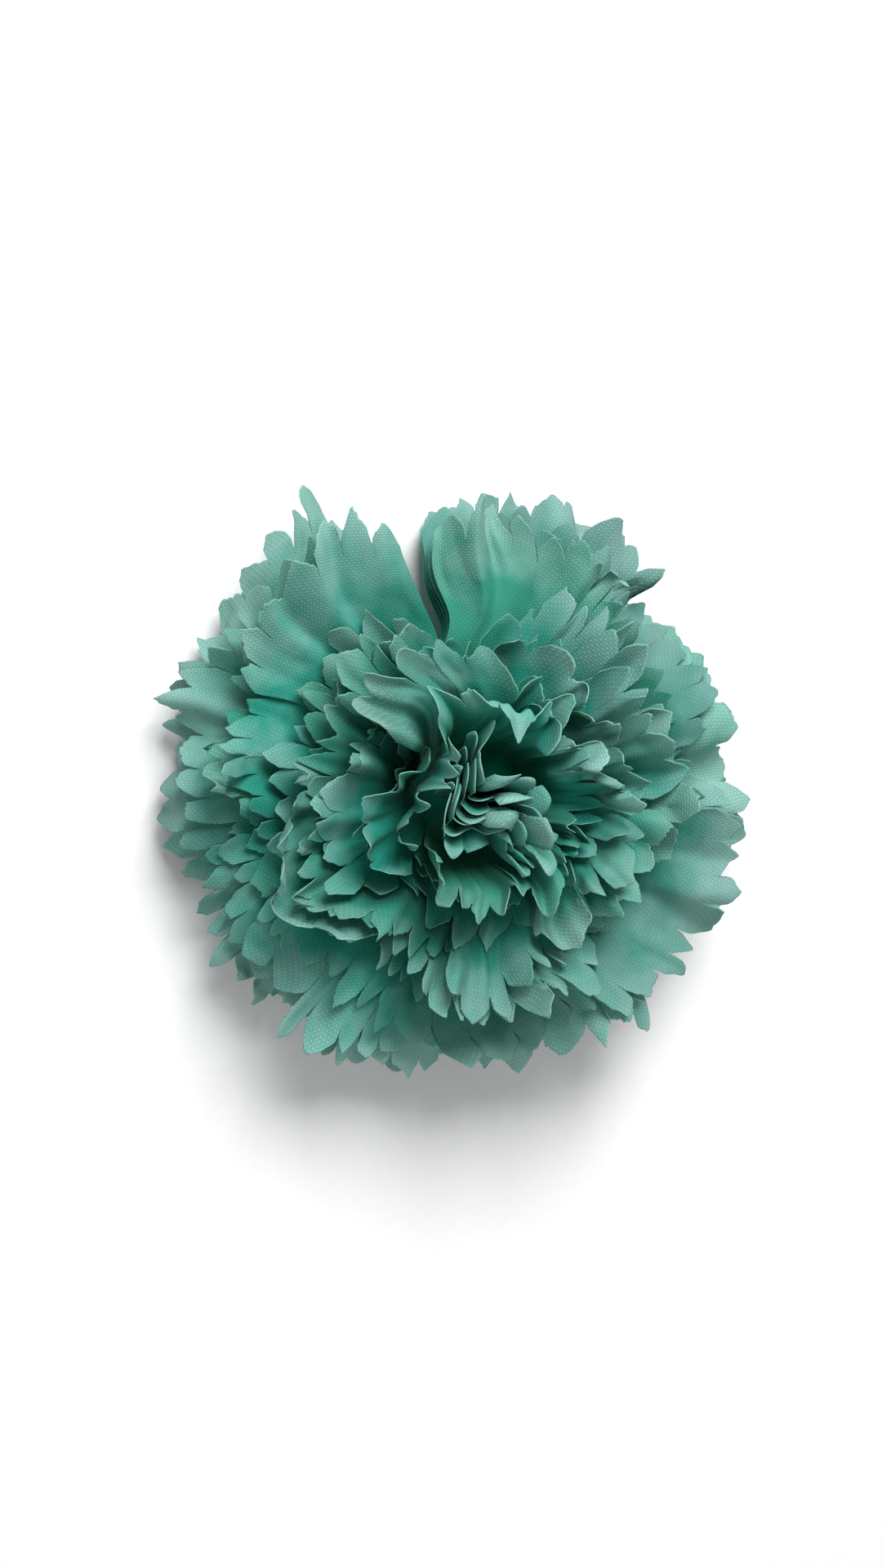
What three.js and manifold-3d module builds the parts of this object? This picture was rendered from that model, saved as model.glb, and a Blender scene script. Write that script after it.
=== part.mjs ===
// Artificial carnation head: thirteen die-cut fabric tiers threaded on a moulded post, held between a washer in a
// green calyx below and a pressed-on button above, with four folded discs glued on the button as the ruffled
// heart. Millimetres, +Z up. The origin is the middle of the calyx's foot, on the surface that the head stands
// on, and the post's axis is Z.
import * as THREE from "three";
import Module from "manifold-3d";
import { mergeVertices } from "three/addons/utils/BufferGeometryUtils.js";

// ---- Driving dimensions, in millimetres and degrees ----
const CLEARANCE = 0.3; // gap between pieces that touch

const POST_RADIUS = 1.5; // the moulded post that every tier is threaded on
const POST_FLANGE_RADIUS = 4.2; // disc at the post's foot, which pulls the calyx up
const POST_FLANGE_HEIGHT = 1.6;
const POST_TOP_SPARE = 2.6; // length of post above the top tier, for the button
const POST_CHAMFER = 0.5;

const CALYX_HEIGHT = 16; // foot to the tips of the sepals
const CALYX_FOOT_RADIUS = 6;
const CALYX_MOUTH_RADIUS = 9.2;
const CALYX_WALL = 1.1;
const CALYX_FLOOR = 4.4; // solid height at the foot
const SEPAL_COUNT = 5;
const SEPAL_LENGTH = 6.5; // depth of the V cut between two sepals
const SEPAL_CUT_WIDTH = 6.4; // width of that cut at the rim
const CALYX_WAIST_SHARE = 0.45; // height of the cup's waist, as a share of the whole
const CALYX_BULGE = 1.1; // the cup is fuller than a straight cone at its waist
const CALYX_BEAD = 0.9; // the bead round the foot stands this much proud
const CALYX_BEAD_HEIGHT = 1.2;

const WASHER_THICKNESS = 1.4; // disc in the calyx's mouth that the lowest tier lies on
const WASHER_PLAY = 0.5; // more room round it, because the cup narrows below its mouth
const BUTTON_RADIUS = 3.2; // cap pressed on the top of the post
const BUTTON_RISE = 3.8; // its height, with the flat top that the heart is glued to
const BUTTON_CHAMFER = 0.8;

const FABRIC_THICKNESS = 0.5; // one tier's sheet, with its starch
const LARGE_TIERS = 5; // the lowest tiers, cut with the large die
const MEDIUM_TIERS = 4;
const SMALL_TIERS = 4; // the top ones
const LARGE_CUT = 48.6; // axis to rim, along the cloth, of a tier cut with the large die
const MEDIUM_CUT = 37.5;
const SMALL_CUT = 30.5;
const LARGE_DROOP = 48.6; // cloth length at which a large tier has its tip's slope and its full pleats
const MEDIUM_DROOP = 37.5;
const SMALL_DROOP = 30.5;
const LARGE_PETALS = 7; // petals of one tier
const MEDIUM_PETALS = 6;
const SMALL_PETALS = 5;
const HUB_PITCH = 1.0; // height of post that one tier takes
const OUTER_RISE = -6.5; // slope of the lowest tier where it leaves the hub
const INNER_RISE = 72; // and of the top tier
const RISE_EASE = 0.95; // how evenly the slopes in between are shared: 1 is even, less favours the inner ones
const OUTER_TIP = -62; // slope of the lowest tier at its rim
const INNER_TIP = 50; // and of the top tier
const TIP_EASE = 0.62;
const TIP_BEND = 1.6; // how late along the cloth the slope turns from the rise to the tip's
const INNER_TURN = 4.6; // radius where the top tier turns upwards
const TURN_STEP = 0.9; // each lower tier turns up this much further out
const TURN_LENGTH = 6; // cloth length over which a tier turns from flat to its slope
const TURN_RING = 0.6; // share of that length at which the sheet has its middle ring of points

const SLIT_START = 0.42; // share of the length where the slit between two petals begins
const SLIT_HALF_WIDTH = 1.5; // at the rim
const TOOTH_DEPTH = 3.4; // pinked teeth along the rim
const CORNER_DROP = 5; // a petal's corners are this much shorter than its middle
const RUFFLE_HEIGHT = 4.2; // pleats at the rim, each side of the mean surface
const RUFFLE_WAVES = 6; // pleats round a tier
const RUFFLE_DRIFT = 0.22; // radians by which the pleats turn from one tier to the next
const RUFFLE_ROOM = 14; // radius past which the pleats have their full height
const RUFFLE_GROWTH = 1.5; // how late along the cloth the pleats grow
const BROAD_PLEAT = 0.5; // height of the broader pleats that make the others uneven, against theirs
const BROAD_PLEAT_TURN = 1.1; // radians

const NOTCH_ANGLE = 99; // the large tiers all have a slit here, which leaves a notch in the outline
const NOTCH_HALF_WIDTH = 5; // of that slit, at the rim
const NOTCH_DROP = 9; // the corners beside it are this much shorter than a petal's middle
const CROWDING = 0.2; // how unevenly the other petals of a large tier are spread, so that their slits don't line up
const CROWDING_STEP = 2; // radians by which that changes from one tier to the next
const GOLDEN_ANGLE = 137.5; // each medium or small tier is turned by this from the one below

const FOLD_COUNT = 4; // folded discs of the heart, side by side
const FOLD_PITCH = 2.9; // from one fold to the next at the rim
const FOLD_FOOT_PITCH = 0.45; // share of that pitch at the foot
const FOLD_HEIGHT = 15.5; // button to rim
const FOLD_FOOT = 3.4; // half the width of a fold where it is pinched on the button
const FOLD_RIM = 13.5; // half its width at the rim
const FOLD_NARROWING = 0.1; // the outer folds are this share narrower for each fold from the middle
const FOLD_CORNER_DROP = 2.4; // its corners are this much lower than its middle
const FOLD_WAVES = 2.5; // pleats along a fold
const FOLD_SWING = 2.1; // height of those pleats, each side
const FOLD_DRIFT = 0.35; // radians by which the pleats turn from one fold to the next
const FOLD_TURN = -38; // the folds run this way across the head

const PROFILE_STEP = 0.25; // cloth length from one stop of a tier's worked-out profile to the next
const WELD = 1e-4; // points closer than this are one
const POST_SEGMENTS = 24;
const BUTTON_SEGMENTS = 20;
const CALYX_SEGMENTS = 40;

const degrees = THREE.MathUtils.degToRad;
const lerp = THREE.MathUtils.lerp;

// ---- Materials ----
const fabric = (shade) =>
  new THREE.MeshStandardMaterial({
    color: new THREE.Color(0x6bb39f).multiplyScalar(shade),
    roughness: 0.82,
    metalness: 0,
    side: THREE.DoubleSide,
  });
const calyxPlastic = new THREE.MeshStandardMaterial({ color: 0x5f8f4e, roughness: 0.45, metalness: 0 });
const postPlastic = new THREE.MeshStandardMaterial({ color: 0x4d7a43, roughness: 0.5, metalness: 0 });

// ---- Boolean cuts ----
const wasm = await Module();
wasm.setup();

/** A closed three.js geometry as a manifold solid. */
function toSolid(geometry) {
  const plain = geometry.clone();
  plain.deleteAttribute("normal");
  plain.deleteAttribute("uv");
  const merged = mergeVertices(plain, WELD);
  return new wasm.Manifold(
    new wasm.Mesh({
      numProp: 3,
      vertProperties: new Float32Array(merged.attributes.position.array),
      triVerts: new Uint32Array(merged.index.array),
    }),
  );
}

/** A manifold solid as a three.js geometry. */
function toGeometry(solid) {
  const mesh = solid.getMesh();
  const geometry = new THREE.BufferGeometry();
  geometry.setAttribute("position", new THREE.BufferAttribute(mesh.vertProperties, 3));
  geometry.setIndex(new THREE.BufferAttribute(mesh.triVerts, 1));
  geometry.computeVertexNormals();
  return geometry;
}

// ---- Turned pieces ----
/** A solid of revolution about Z from [radius, height] points that start and end on the axis. */
function turned(points, segments) {
  const profile = points.map(([radius, height]) => new THREE.Vector2(radius, height));
  return new THREE.LatheGeometry(profile, segments).rotateX(Math.PI / 2);
}

const TIER_COUNT = LARGE_TIERS + MEDIUM_TIERS + SMALL_TIERS;
const washerTop = CALYX_HEIGHT - CLEARANCE;
const washerBottom = washerTop - WASHER_THICKNESS;
const hubZ = (tier) => CALYX_HEIGHT + CLEARANCE + FABRIC_THICKNESS / 2 + tier * HUB_PITCH;
const topHub = hubZ(TIER_COUNT - 1);
const postTop = topHub + POST_TOP_SPARE;
const boreRadius = POST_RADIUS + CLEARANCE;

/** The post, with its foot flange flush with the calyx's foot. */
function postGeometry() {
  return turned(
    [
      [0, 0],
      [POST_FLANGE_RADIUS, 0],
      [POST_FLANGE_RADIUS, POST_FLANGE_HEIGHT],
      [POST_RADIUS, POST_FLANGE_HEIGHT + CLEARANCE],
      [POST_RADIUS, postTop - POST_CHAMFER],
      [POST_RADIUS - POST_CHAMFER, postTop],
      [0, postTop],
    ],
    POST_SEGMENTS,
  );
}

/** The flat disc in the calyx's mouth. */
function washerGeometry() {
  const radius = CALYX_MOUTH_RADIUS - CALYX_WALL - CLEARANCE - WASHER_PLAY;
  const ring = new THREE.Shape().absarc(0, 0, radius, 0, 2 * Math.PI);
  ring.holes.push(new THREE.Path().absarc(0, 0, boreRadius, 0, 2 * Math.PI));
  return new THREE.ExtrudeGeometry(ring, { depth: WASHER_THICKNESS, bevelEnabled: false, curveSegments: POST_SEGMENTS });
}

/** The domed button that is pressed on the post's top. */
function buttonGeometry() {
  const seat = topHub + FABRIC_THICKNESS / 2 + CLEARANCE;
  const profile = [
    [boreRadius, seat],
    [BUTTON_RADIUS, seat],
    [BUTTON_RADIUS, seat + BUTTON_RISE - BUTTON_CHAMFER],
    [BUTTON_RADIUS - BUTTON_CHAMFER, seat + BUTTON_RISE],
    [0, seat + BUTTON_RISE],
    [0, postTop + CLEARANCE],
    [boreRadius, postTop + CLEARANCE],
    [boreRadius, seat],
  ];
  return turned(profile, BUTTON_SEGMENTS);
}

/** The calyx: a tapered cup with a seat for the post's flange and five pointed sepals at its mouth. */
function calyxGeometry() {
  const innerMouth = CALYX_MOUTH_RADIUS - CALYX_WALL;
  const innerFoot = CALYX_FOOT_RADIUS - CALYX_WALL;
  const waist = CALYX_HEIGHT * CALYX_WAIST_SHARE;
  const seatTop = POST_FLANGE_HEIGHT + 2 * CLEARANCE;
  const seatRadius = POST_FLANGE_RADIUS + CLEARANCE;
  const cup = toSolid(
    turned(
      [
        [seatRadius, 0],
        [CALYX_FOOT_RADIUS, 0],
        [CALYX_FOOT_RADIUS + CALYX_BEAD, CALYX_BEAD_HEIGHT],
        [lerp(CALYX_FOOT_RADIUS, CALYX_MOUTH_RADIUS, CALYX_WAIST_SHARE) + CALYX_BULGE, waist],
        [CALYX_MOUTH_RADIUS, CALYX_HEIGHT],
        [innerMouth, CALYX_HEIGHT],
        [lerp(innerFoot, innerMouth, CALYX_WAIST_SHARE) + CALYX_BULGE, waist],
        [innerFoot, CALYX_FLOOR],
        [boreRadius, CALYX_FLOOR],
        [boreRadius, seatTop],
        [seatRadius, seatTop],
        [seatRadius, 0],
      ],
      CALYX_SEGMENTS,
    ),
  );
  const over = CALYX_WALL; // the cuts run this far past the rim
  const notch = new THREE.Shape([
    new THREE.Vector2(-SEPAL_CUT_WIDTH / 2, CALYX_HEIGHT + over),
    new THREE.Vector2(0, CALYX_HEIGHT - SEPAL_LENGTH),
    new THREE.Vector2(SEPAL_CUT_WIDTH / 2, CALYX_HEIGHT + over),
  ]);
  let made = cup;
  for (let sepal = 0; sepal < SEPAL_COUNT; sepal++) {
    const cutter = new THREE.ExtrudeGeometry(notch, { depth: 2 * CALYX_MOUTH_RADIUS, bevelEnabled: false })
      .rotateX(Math.PI / 2)
      .rotateZ((sepal * 2 * Math.PI) / SEPAL_COUNT);
    made = made.subtract(toSolid(cutter));
  }
  return toGeometry(made);
}

// ---- Fabric tiers ----
/** The die that a tier is cut with. */
function dieOf(tier) {
  if (tier < LARGE_TIERS)
    return { length: LARGE_CUT, droop: LARGE_DROOP, petals: LARGE_PETALS, columns: 8, notched: true };
  if (tier < LARGE_TIERS + MEDIUM_TIERS)
    return { length: MEDIUM_CUT, droop: MEDIUM_DROOP, petals: MEDIUM_PETALS, columns: 6, notched: false };
  return { length: SMALL_CUT, droop: SMALL_DROOP, petals: SMALL_PETALS, columns: 6, notched: false };
}

/** What sets one tier apart: its cut, its slopes and where its first slit is. */
function tierPlan(tier) {
  const inward = tier / (TIER_COUNT - 1);
  const die = dieOf(tier);
  return {
    ...die,
    tier,
    rise: degrees(lerp(OUTER_RISE, INNER_RISE, inward ** RISE_EASE)),
    tip: degrees(lerp(OUTER_TIP, INNER_TIP, inward ** TIP_EASE)),
    turn: INNER_TURN + (TIER_COUNT - 1 - tier) * TURN_STEP,
    start: degrees(die.notched ? NOTCH_ANGLE : tier * GOLDEN_ANGLE),
    crowding: die.notched ? CROWDING * Math.cos(tier * CROWDING_STEP) : 0,
  };
}

/** The angle of a place round a tier, given as a share of a turn from its first slit. */
function angleAt(plan, share) {
  const turn = 2 * Math.PI * share;
  return plan.start + turn + plan.crowding * (1 - Math.cos(turn));
}

/** The tier's mean profile: a function from cloth length s to its radius, height and slope. */
function tierProfile(plan) {
  const step = PROFILE_STEP;
  const stops = [{ radius: boreRadius, height: hubZ(plan.tier), slope: 0 }];
  for (let s = boreRadius + step; s <= plan.length + 2 * step; s += step) {
    const bent = THREE.MathUtils.smoothstep(s, plan.turn, plan.turn + TURN_LENGTH);
    const far = THREE.MathUtils.clamp((s - plan.turn) / (plan.droop - plan.turn), 0, 1);
    const slope = plan.rise * bent + (plan.tip - plan.rise) * far ** TIP_BEND;
    const last = stops[stops.length - 1];
    stops.push({ radius: last.radius + step * Math.cos(slope), height: last.height + step * Math.sin(slope), slope });
  }
  return (s) => {
    const at = (s - boreRadius) / step;
    const low = Math.min(Math.floor(at), stops.length - 2);
    const share = at - low;
    return {
      radius: lerp(stops[low].radius, stops[low + 1].radius, share),
      height: lerp(stops[low].height, stops[low + 1].height, share),
      slope: lerp(stops[low].slope, stops[low + 1].slope, share),
    };
  };
}

/** The pleats, from -1 to 1, which change only a little from one tier to the next, so that the tiers nest. */
function pleat(angle, tier) {
  const turn = tier * RUFFLE_DRIFT;
  const broad = BROAD_PLEAT * Math.sin((RUFFLE_WAVES - 2) * angle + BROAD_PLEAT_TURN - turn);
  return (Math.sin(RUFFLE_WAVES * angle + turn) + broad) / (1 + BROAD_PLEAT);
}

/** The point of a tier's middle surface at cloth length s and angle. */
function clothPoint(plan, profile, s, angle) {
  const at = profile(s);
  const far = Math.max(0, (s - plan.turn) / (plan.droop - plan.turn));
  const room = Math.min(1, Math.max(0, at.radius - 2) / RUFFLE_ROOM);
  const lift = RUFFLE_HEIGHT * far ** RUFFLE_GROWTH * room * pleat(angle, plan.tier);
  const radius = at.radius - lift * Math.sin(at.slope);
  return new THREE.Vector3(radius * Math.cos(angle), radius * Math.sin(angle), at.height + lift * Math.cos(at.slope));
}

/** The grid of cloth points and triangles of one tier, with its slits and pinked teeth. */
function tierSheet(plan) {
  const profile = tierProfile(plan);
  const bend = plan.turn + TURN_LENGTH * TURN_RING;
  const rings = [boreRadius, plan.turn, bend, Math.max(plan.length * SLIT_START, bend + 2)];
  const last = rings[rings.length - 1];
  const outerRows = 2;
  const points = [];
  const grid = [];
  for (let petal = 0; petal < plan.petals; petal++) {
    const columns = [];
    for (let column = 0; column <= plan.columns; column++) {
      const across = (2 * column) / plan.columns - 1;
      const slit = (petal + (across > 0 ? 1 : 0)) % plan.petals; // the slit on this side of the petal
      const atNotch = plan.notched && slit === 0;
      const tooth = column % 2 === 0 ? TOOTH_DEPTH : 0;
      const drop = atNotch ? NOTCH_DROP : CORNER_DROP;
      const reach = plan.length - tooth - drop * Math.abs(across) ** 3;
      const halfWidth = atNotch ? NOTCH_HALF_WIDTH : SLIT_HALF_WIDTH;
      const angle = angleAt(plan, (petal + (across + 1) / 2) / plan.petals);
      const rows = rings.map((s) => ({ s, shared: true }));
      for (let row = 1; row <= outerRows; row++)
        rows.push({ s: lerp(last, reach, row / outerRows), shared: false });
      columns.push(
        rows.map(({ s, shared }, row) => {
          if (shared && column === 0 && petal > 0) return grid[petal - 1][plan.columns][row];
          if (shared && column === plan.columns && petal === plan.petals - 1) return grid[0][0][row];
          const open = shared ? 0 : (halfWidth * (s - last)) / (plan.length - last) / s;
          points.push(clothPoint(plan, profile, s, angle - across * open));
          return points.length - 1;
        }),
      );
      if (column === 0) grid[petal] = columns;
    }
  }
  const triangles = [];
  for (const columns of grid)
    for (let column = 0; column < plan.columns; column++)
      for (let row = 0; row < columns[0].length - 1; row++) {
        const [a, b] = [columns[column][row], columns[column][row + 1]];
        const [c, d] = [columns[column + 1][row], columns[column + 1][row + 1]];
        triangles.push([a, b, c], [b, d, c]);
      }
  return { points, triangles };
}

/** The grid of one folded disc of the heart: a pinched foot, spreading into a pleated ribbon with a pinked rim. */
function foldSheet(fold) {
  const columns = 26;
  const rows = 3;
  const side = fold - (FOLD_COUNT - 1) / 2;
  const foot = topHub + FABRIC_THICKNESS / 2 + CLEARANCE + BUTTON_RISE + CLEARANCE;
  const spread = 1 - FOLD_NARROWING * Math.abs(side);
  const points = [];
  const triangles = [];
  for (let column = 0; column <= columns; column++) {
    const along = (2 * column) / columns - 1;
    const tooth = column % 2 === 0 ? TOOTH_DEPTH / 3 : 0;
    for (let row = 0; row <= rows; row++) {
      const up = row / rows;
      const swing = FOLD_SWING * up * Math.sin(FOLD_WAVES * Math.PI * along + FOLD_DRIFT * side);
      const rim = row === rows ? tooth + FOLD_CORNER_DROP * along ** 4 : 0;
      points.push(
        new THREE.Vector3(
          spread * along * lerp(FOLD_FOOT, FOLD_RIM, up),
          FOLD_PITCH * side * lerp(FOLD_FOOT_PITCH, 1, up) + swing,
          foot + FOLD_HEIGHT * up - rim,
        ),
      );
    }
  }
  for (let column = 0; column < columns; column++)
    for (let row = 0; row < rows; row++) {
      const a = column * (rows + 1) + row;
      const c = a + rows + 1;
      triangles.push([a, c, a + 1], [a + 1, c, c + 1]);
    }
  return { points, triangles };
}

/** A closed solid of even thickness about a sheet of points and triangles. */
function thicken({ points, triangles }, thickness) {
  const normals = points.map(() => new THREE.Vector3());
  for (const [a, b, c] of triangles) {
    const side = new THREE.Vector3().subVectors(points[b], points[a]);
    const normal = side.cross(new THREE.Vector3().subVectors(points[c], points[a]));
    for (const corner of [a, b, c]) normals[corner].add(normal);
  }
  const count = points.length;
  const positions = new Float32Array(count * 6);
  points.forEach((point, index) => {
    const half = normals[index].normalize().multiplyScalar(thickness / 2);
    point.clone().add(half).toArray(positions, index * 3);
    point.clone().sub(half).toArray(positions, (count + index) * 3);
  });
  const uses = new Map();
  for (const corners of triangles)
    for (let side = 0; side < 3; side++) {
      const [a, b] = [corners[side], corners[(side + 1) % 3]];
      const key = Math.min(a, b) * count + Math.max(a, b);
      uses.set(key, uses.has(key) ? null : [a, b]);
    }
  const index = [];
  for (const [a, b, c] of triangles) index.push(a, b, c, count + c, count + b, count + a);
  for (const edge of uses.values())
    if (edge) index.push(edge[1], edge[0], count + edge[0], edge[1], count + edge[0], count + edge[1]);
  const geometry = new THREE.BufferGeometry();
  geometry.setAttribute("position", new THREE.BufferAttribute(positions, 3));
  geometry.setIndex(index);
  geometry.computeVertexNormals();
  return geometry;
}

// ---- The head ----
const head = new THREE.Group();

/** Adds one named piece to the head. */
function add(name, geometry, material) {
  const mesh = new THREE.Mesh(geometry, material);
  mesh.name = name;
  head.add(mesh);
  return mesh;
}

add("calyx_cup", calyxGeometry(), calyxPlastic);
add("centre_post", postGeometry(), postPlastic);
add("hub_washer", washerGeometry(), postPlastic).position.z = washerBottom;
add("post_button", buttonGeometry(), postPlastic);
for (let tier = 0; tier < TIER_COUNT; tier++) {
  const shade = lerp(1.0, 0.82, tier / (TIER_COUNT - 1));
  const name = `petal_tier_${String(tier + 1).padStart(2, "0")}`;
  add(name, thicken(tierSheet(tierPlan(tier)), FABRIC_THICKNESS), fabric(shade));
}

for (let fold = 0; fold < FOLD_COUNT; fold++)
  add(`heart_fold_${fold + 1}`, thicken(foldSheet(fold), FABRIC_THICKNESS), fabric(0.8)).rotation.z =
    degrees(FOLD_TURN);

export default head;
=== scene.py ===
"""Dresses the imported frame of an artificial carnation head.

Thirteen die-cut tiers of starched polyester are threaded on a moulded post, between a washer in a green calyx
and a pressed-on button. Four folded discs on the button make the ruffled heart. Cloth is worked out in
millimetres in the frame's own axes, and turned to metres when its mesh is made.
"""
import logging
import math
from dataclasses import dataclass, field, replace
from enum import Enum

import bpy
import numpy as np
from mathutils import Matrix, Vector


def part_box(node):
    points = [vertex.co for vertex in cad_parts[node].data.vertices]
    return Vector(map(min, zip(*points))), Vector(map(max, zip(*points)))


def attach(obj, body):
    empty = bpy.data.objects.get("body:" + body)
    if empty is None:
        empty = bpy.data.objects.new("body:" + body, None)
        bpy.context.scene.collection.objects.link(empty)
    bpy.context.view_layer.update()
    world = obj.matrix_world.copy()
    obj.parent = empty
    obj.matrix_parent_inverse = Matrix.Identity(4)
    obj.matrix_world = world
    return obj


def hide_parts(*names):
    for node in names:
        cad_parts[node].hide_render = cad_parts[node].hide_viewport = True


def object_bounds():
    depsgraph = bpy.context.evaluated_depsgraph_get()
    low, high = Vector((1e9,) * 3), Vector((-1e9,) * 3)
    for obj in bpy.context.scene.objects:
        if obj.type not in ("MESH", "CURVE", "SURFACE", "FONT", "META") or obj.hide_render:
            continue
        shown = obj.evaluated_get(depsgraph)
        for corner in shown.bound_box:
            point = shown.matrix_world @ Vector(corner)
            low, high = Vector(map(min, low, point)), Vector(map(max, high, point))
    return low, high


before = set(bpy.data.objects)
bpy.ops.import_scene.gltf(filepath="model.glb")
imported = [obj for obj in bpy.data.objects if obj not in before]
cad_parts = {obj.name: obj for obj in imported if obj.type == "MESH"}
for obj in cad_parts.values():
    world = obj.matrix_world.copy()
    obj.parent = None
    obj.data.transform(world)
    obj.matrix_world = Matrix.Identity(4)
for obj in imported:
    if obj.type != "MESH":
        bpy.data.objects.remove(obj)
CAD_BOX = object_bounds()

LOG = logging.getLogger("carnation")
MM = 0.001
BODY = "root"


# ---- Small helpers ----
def linear(code: str) -> tuple[float, float, float, float]:
    """Turns an sRGB hex colour to a linear one.

    Args:
        code: six hex digits after a #.

    Returns:
        The linear red, green, blue and an alpha of one.
    """
    shares = [int(code[i : i + 2], 16) / 255 for i in (1, 3, 5)]
    turned = [c / 12.92 if c <= 0.04045 else ((c + 0.055) / 1.055) ** 2.4 for c in shares]
    return (*turned, 1.0)


def smooth(value: np.ndarray, low: float, high: float) -> np.ndarray:
    """The smooth step from 0 at low, and below it, to 1 at high, and above it."""
    share = np.clip((value - low) / (high - low), 0, 1)
    return share * share * (3 - 2 * share)


def eased_above_zero(value: np.ndarray, sharpness: float = 2.0, free_from: float = 2.0) -> np.ndarray:
    """Eases values to stay above 0, and leaves those that are well above it as they are.

    Args:
        value: the values.
        sharpness: how tightly the ease turns round 0.
        free_from: the value from which nothing changes.

    Returns:
        The eased values.
    """
    safe = np.clip(value * sharpness, -40, free_from * sharpness)  # within what exp can take
    eased = np.log1p(np.exp(safe)) / sharpness
    return np.where(value > free_from, value, eased)


def box_mm(node: str) -> tuple[np.ndarray, np.ndarray]:
    """A CAD node's lowest and highest corners, in millimetres."""
    low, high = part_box(node)
    return np.array(low) / MM, np.array(high) / MM


def linked(name: str, data: bpy.types.ID) -> bpy.types.Object:
    """Makes an object and links it to the scene.

    Args:
        name: the object's name.
        data: its mesh, light or camera.

    Returns:
        The object.
    """
    made = bpy.data.objects.new(name, data)
    bpy.context.scene.collection.objects.link(made)
    return made


def add_node(
    tree: bpy.types.NodeTree, kind: str, settings: dict | None = None, links: dict | None = None
) -> bpy.types.Node:
    """Adds a shader node with its settings and links.

    Args:
        tree: the material's or world's node tree.
        kind: the node's type name.
        settings: property names, or input names or numbers, and their values.
        links: input names or numbers, and the output sockets that feed them.

    Returns:
        The new node.
    """
    node = tree.nodes.new(kind)
    for key, value in (settings or {}).items():
        if isinstance(key, str) and hasattr(node, key) and key not in node.inputs:
            setattr(node, key, value)
        else:
            node.inputs[key].default_value = value
    for key, source in (links or {}).items():
        tree.links.new(source, node.inputs[key])
    return node


def new_material(name: str) -> tuple[bpy.types.Material, bpy.types.NodeTree]:
    """Makes an empty node material.

    Args:
        name: the finish's name.

    Returns:
        The material and its node tree.
    """
    material = bpy.data.materials.new(name)
    material.use_nodes = True
    material.node_tree.nodes.clear()
    return material, material.node_tree


# ---- Finishes ----
class ClothPart(Enum):
    """Which part of a petal's cloth a material covers."""

    FACE = "face"
    CUT_EDGE = "cut_edge_painted_highlight"


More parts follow.
